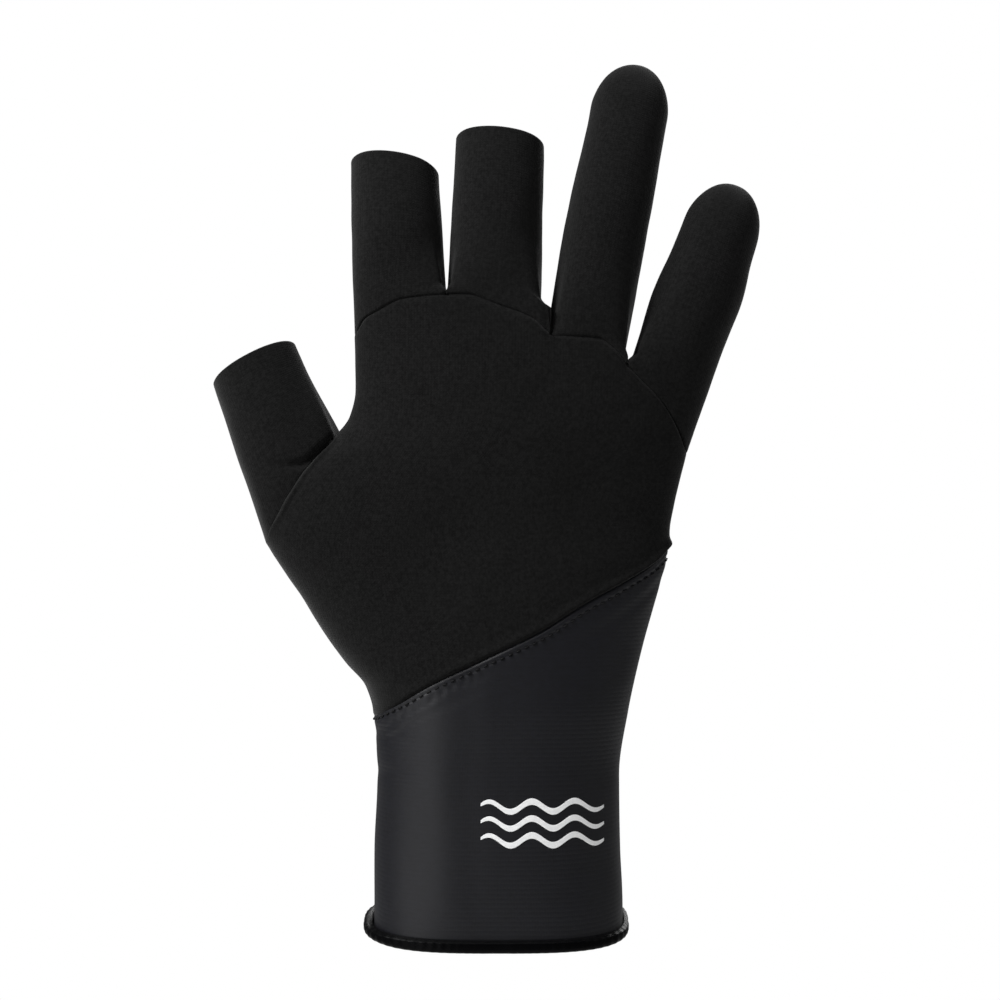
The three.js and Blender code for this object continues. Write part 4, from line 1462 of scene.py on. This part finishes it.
    def seam_path(self) -> Array:
        """A closed line of dense points where the stitches run, round back and palm."""
        quarters, steepest = 721, 1.6
        turns = np.linspace(0.0, 180.0, quarters)
        form = self.form
        top = form.seam_at("wrist_seam", turns, -1.0)
        x = form.point(top, turns, Side.BACK)[:, 0]
        down = self.drop(x) * np.minimum(np.hypot(1.0, np.gradient(top, x)), steepest)
        back, palm = (form.point(top - down, turns, side) for side in Side)
        return np.concatenate((back, palm[1:-1][::-1]))

    def build_stitches(self, material: bpy.types.Material) -> None:
        """Builds the topstitching from its thread: short capsules, one a stitch.

        A stitch's middle line runs along the seam and dives at both ends with the fourth power
        of the way from its middle. Its section is a circle whose radius falls to 0 at the ends.
        """
        path = joined(self.seam_path())
        way = way_along(path, 0)
        count = int(round(way[-1] / self.stitch_pitch))
        middle = (np.arange(count) + 0.5) * way[-1] / count
        along = np.linspace(-0.5, 0.5, 9)
        places = middle[:, None] + along * self.stitch_length

        def at(where: Array) -> Array:
            """Points of the path by the way along it."""
            where = np.mod(where, way[-1])
            return stacked(*(np.interp(where, way, axis) for axis in path.T))

        tangent = unit(at(places + 0.3) - at(places - 0.3))
        radial = (at(places) - path.mean(axis=0)) * (1.0, 1.0, 0.0)
        outward = unit(radial - tangent * np.sum(radial * tangent, axis=-1, keepdims=True))
        aside = np.cross(tangent, outward)
        radius = self.thread / 2 * np.sqrt(np.clip(1 - (2 * along) ** 6, 0.0, 1.0))
        lift = self.stitch_lift - self.stitch_dive * (2 * along) ** 4
        centre = at(places) + outward * lift[:, None]
        round_ = np.linspace(0.0, 2 * math.pi, 8, endpoint=False)[:, None]
        circle = aside[:, :, None] * np.cos(round_) + outward[:, :, None] * np.sin(round_)
        rings = (centre[:, :, None] + circle * radius[:, None, None])[:, 1:-1]
        numbers = np.arange(rings[..., 0].size).reshape(rings.shape[:3])
        runs = joined(numbers, 2)
        a, b, c, d = runs[:, :-1, :-1], runs[:, 1:, :-1], runs[:, 1:, 1:], runs[:, :-1, 1:]
        # A stitch closes in one point at each end.
        first = numbers.size + np.broadcast_to(np.arange(count)[:, None], a[:, 0].shape)
        fans = (first, a[:, 0], d[:, 0]), (first + count, c[:, -1], b[:, -1])
        faces = [stacked(a, b, c, d).reshape(-1, 4)]
        faces += [stacked(*fan).reshape(-1, 3) for fan in fans]
        points = np.concatenate((rings.reshape(-1, 3), centre[:, 0], centre[:, -1]))
        cloth = stacked(places[:, 1:-1, None], round_[:, 0])
        ends = stacked(places[:, [0, -1]].T.ravel(), 0.0)
        wall = Wall(points, faces, np.concatenate((cloth.reshape(-1, 2), ends)))
        make_piece("wrist_stitches", wall, material)

    def tape_section(self, half: float) -> tuple[Array, Array, Array]:
        """The tape's section: an oval roll with a slot for the cuff's edge.

        Out is the sine and up 1 minus the cosine of the angle from the roll's lowest point, each
        to a power of at most 1. Towards both sides of the wrist the roll grows rounder and a
        little lower. It stands out further at the thumb's side and less at the other.

        Args:
            half: Half the slot's width.

        Returns:
            How far out from the middle of the cuff's sheet and how far up from the mouth's edge
            its points are, by section and turn, and how much of the gathers each of them takes.
        """
        tape = self.form.sizes.tape
        side = np.cos(radians(self.turns()))
        top = self.tape_height * (1 - 0.1 * np.abs(side) ** 6)
        angle = radians(np.linspace(64.0, 296.0, 33) - 180.0)[:, None]
        power = mix(0.5, 1.0, np.abs(side) ** 4)
        out = -powered(np.sin(angle), power) * (half + tape + self.tape_swell)
        out = out * (1 + 0.45 * np.maximum(0.0, side) ** 8 - 0.1 * np.maximum(0.0, -side) ** 4)
        up = top / 2 * (1 - powered(np.cos(angle), 0.6))
        slot_out = np.array([-half, -half, half, half])[:, None]
        slot_up = np.stack((top, tape + 0 * top, tape + 0 * top, top))
        rounded = np.concatenate((np.abs(np.sin(angle)), 0 * slot_out))
        return np.concatenate((out, slot_out + 0 * top)), np.concatenate((up, slot_up)), rounded

    def build_binding(self, material: bpy.types.Material) -> None:
        """Builds the tape folded round the mouth, gathered a little by its elastic."""
        s = self.form.sizes
        out, up, rounded = self.tape_section(s.cuff_sheet / 2 + s.seam_gap)
        heights = {side: up + self.form.mouth(self.turns(), side) for side in Side}
        loop = self.ring(heights, (s.cuff_sheet / 2 - out)[..., None])
        cloth, around = cloth_places(loop, True)
        # Gathers: the tape's round faces rise and sink once every gather_pitch.
        count = round(around / self.gather_pitch)
        wave = np.sin(2 * math.pi * count * cloth[..., 0] / around + 1.5 * ripple(loop, 20.0))
        outwards = unit(loop - loop.mean(axis=0))
        loop = loop + outwards * (self.gather_depth * wave * rounded)[..., None]
        numbers = np.arange(loop[..., 0].size).reshape(loop.shape[:2])
        faces = grid_faces(joined(numbers), True)[:, ::-1]
        wall = Wall(loop.reshape(-1, 3), [faces], cloth.reshape(-1, 2), around)
        make_piece("binding_tape", wall, material, ("cuff_binding",))

    def build_print(self, material: bpy.types.Material) -> None:
        """Builds the print from its film: three plain waved lines on the back of the cuff.

        A line's middle is a sine of x, its width fades towards both ends with a power of the
        sine of its share, and the film follows the cuff's face.
        """
        form = self.form
        share = np.linspace(0.02, 0.98, 180)
        x = mix(self.print_from, self.print_to, share)
        swing, pitch = self.print_wave
        for number, level in enumerate(self.print_heights):
            middle = level + swing * np.sin(2 * math.pi * (x - self.print_from) / pitch)
            half = self.print_half * np.sin(math.pi * share) ** 0.3
            z = middle + half * np.linspace(-1.0, 1.0, 10)[:, None]
            low, high = form.outline["left"](z), form.outline["right"](z)
            across = (2 * x - low - high) / (high - low)
            cosine = -powered(across, form.outline["square"](z) / 2)
            smooth = form.point(z, np.degrees(np.arccos(cosine)), Side.BACK)
            # The print lies too far below the seam for its puckers.
            rise = self.height(smooth, np.full(z.shape, 30.0))[..., None]
            normals = grid_normals(smooth, False)
            wall = shell(*(smooth + normals * (rise + gap) for gap in self.film), False)
            make_piece(f"cuff_print_{number + 1}", wall, material)


# The studio's lamps: name, place in metres, watts and side in metres. The key lights the
# thumb's side, the glow makes the band on the cuff, the side lamp lights the other edge and the
# back lamp the palm.
LAMPS = (
    ("key", (-0.73, -0.38, 0.9), 17.0, 0.5),
    ("glow", (-0.55, -0.68, 0.05), 1.0, 0.5),
    ("side", (1.0, -0.25, 0.75), 1.6, 0.8),
    ("back", (0.35, 1.1, 0.6), 8.0, 0.7),
)


@dataclass
class Studio:
    """Floor, light and camera; fill is how strongly the white surroundings light the glove."""

    distance: float = 0.85
    centre: tuple[float, float] = (0.0009, 0.1307)
    floor_height: float = -0.25
    floor_radius: float = 1.1
    fill: float = 0.13

    def build(self) -> None:
        """Makes them all."""
        scene = bpy.context.scene
        scene.view_settings.view_transform = "Standard"
        scene.world = bpy.data.worlds.new("white_studio")
        add = node_maker(scene.world)
        seen, fill = (
            add("Background", {"Color": (1.0, 1.0, 1.0, 1.0), "Strength": strength})
            for strength in (1.0, self.fill)
        )
        ray = add("LightPath", {}).outputs["Is Camera Ray"]
        shaders = {0: ray, 1: fill.outputs["Background"], 2: seen.outputs["Background"]}
        add("OutputWorld", {"Surface": add("MixShader", shaders).outputs["Shader"]})
        camera = bpy.data.cameras.new("camera")
        camera.lens = 100.0
        camera.sensor_width = 36.0
        camera.clip_end = 20.0
        eye = bpy.data.objects.new("camera", camera)
        eye.location = (self.centre[0], -self.distance, self.centre[1])
        eye.rotation_euler = (math.pi / 2, 0.0, 0.0)
        scene.collection.objects.link(eye)
        scene.camera = eye
        for lamp in LAMPS:
            self.lamp(*lamp)
        self.floor()

    def lamp(self, name: str, place: tuple[float, float, float], power: float, size: float) -> None:
        """Adds a soft square light that looks at the glove's middle.

        Args:
            name: The light's name.
            place: Where it stands, in metres.
            power: Watts.
            size: Its side in metres.
        """
        light = bpy.data.lights.new(name, "AREA")
        light.energy = power
        light.size = size
        lamp = bpy.data.objects.new(name, light)
        lamp.location = place
        aim = np.array((0.0, 0.0, 0.13)) - np.array(place)
        level = math.hypot(aim[0], aim[1])
        lamp.rotation_euler = (math.atan2(level, -aim[2]), 0.0, math.atan2(-aim[0], aim[1]))
        bpy.context.scene.collection.objects.link(lamp)

    def floor(self) -> None:
        """Adds a pale round floor, far enough below to stay out of the photograph's view."""
        corners = 96
        round_ = np.linspace(0.0, 2 * math.pi, corners, endpoint=False)
        x, y = self.floor_radius * np.cos(round_), self.floor_radius * np.sin(round_)
        rim = stacked(x, y, self.floor_height)
        mesh = bpy.data.meshes.new("floor")
        mesh.from_pydata(rim.tolist(), [], [list(range(corners))])
        paint = bpy.data.materials.new("matt_white_floor")
        paint.use_nodes = True
        shader = paint.node_tree.nodes["Principled BSDF"]
        shader.inputs["Base Color"].default_value = linear("#f4f4f2")
        shader.inputs["Roughness"].default_value = 0.9
        mesh.materials.append(paint)
        plate = bpy.data.objects.new("floor", mesh)
        bpy.context.scene.collection.objects.link(plate)


def main() -> None:
    """Builds the glove and its studio, and reports each piece."""
    logging.basicConfig(level=logging.INFO)
    form = HandForm(GloveSizes())
    knit = KNIT_CHLOROPRENE.material()
    panels = HandPanels(form)
    for side in Side:
        panels.build(side, knit)
    sleeves = FingerSleeves(form)
    for size in SLEEVES:
        sleeves.build(size, knit)
    cuff = Cuff(form)
    cuff.build_cuff(RIB_POLYAMIDE.material())
    cuff.build_stitches(SEWING_THREAD.material())
    cuff.build_binding(ELASTIC_TAPE.material())
    cuff.build_print(PRINT_FILM.material())
    Studio().build()


if __name__ == "__main__":
    main()
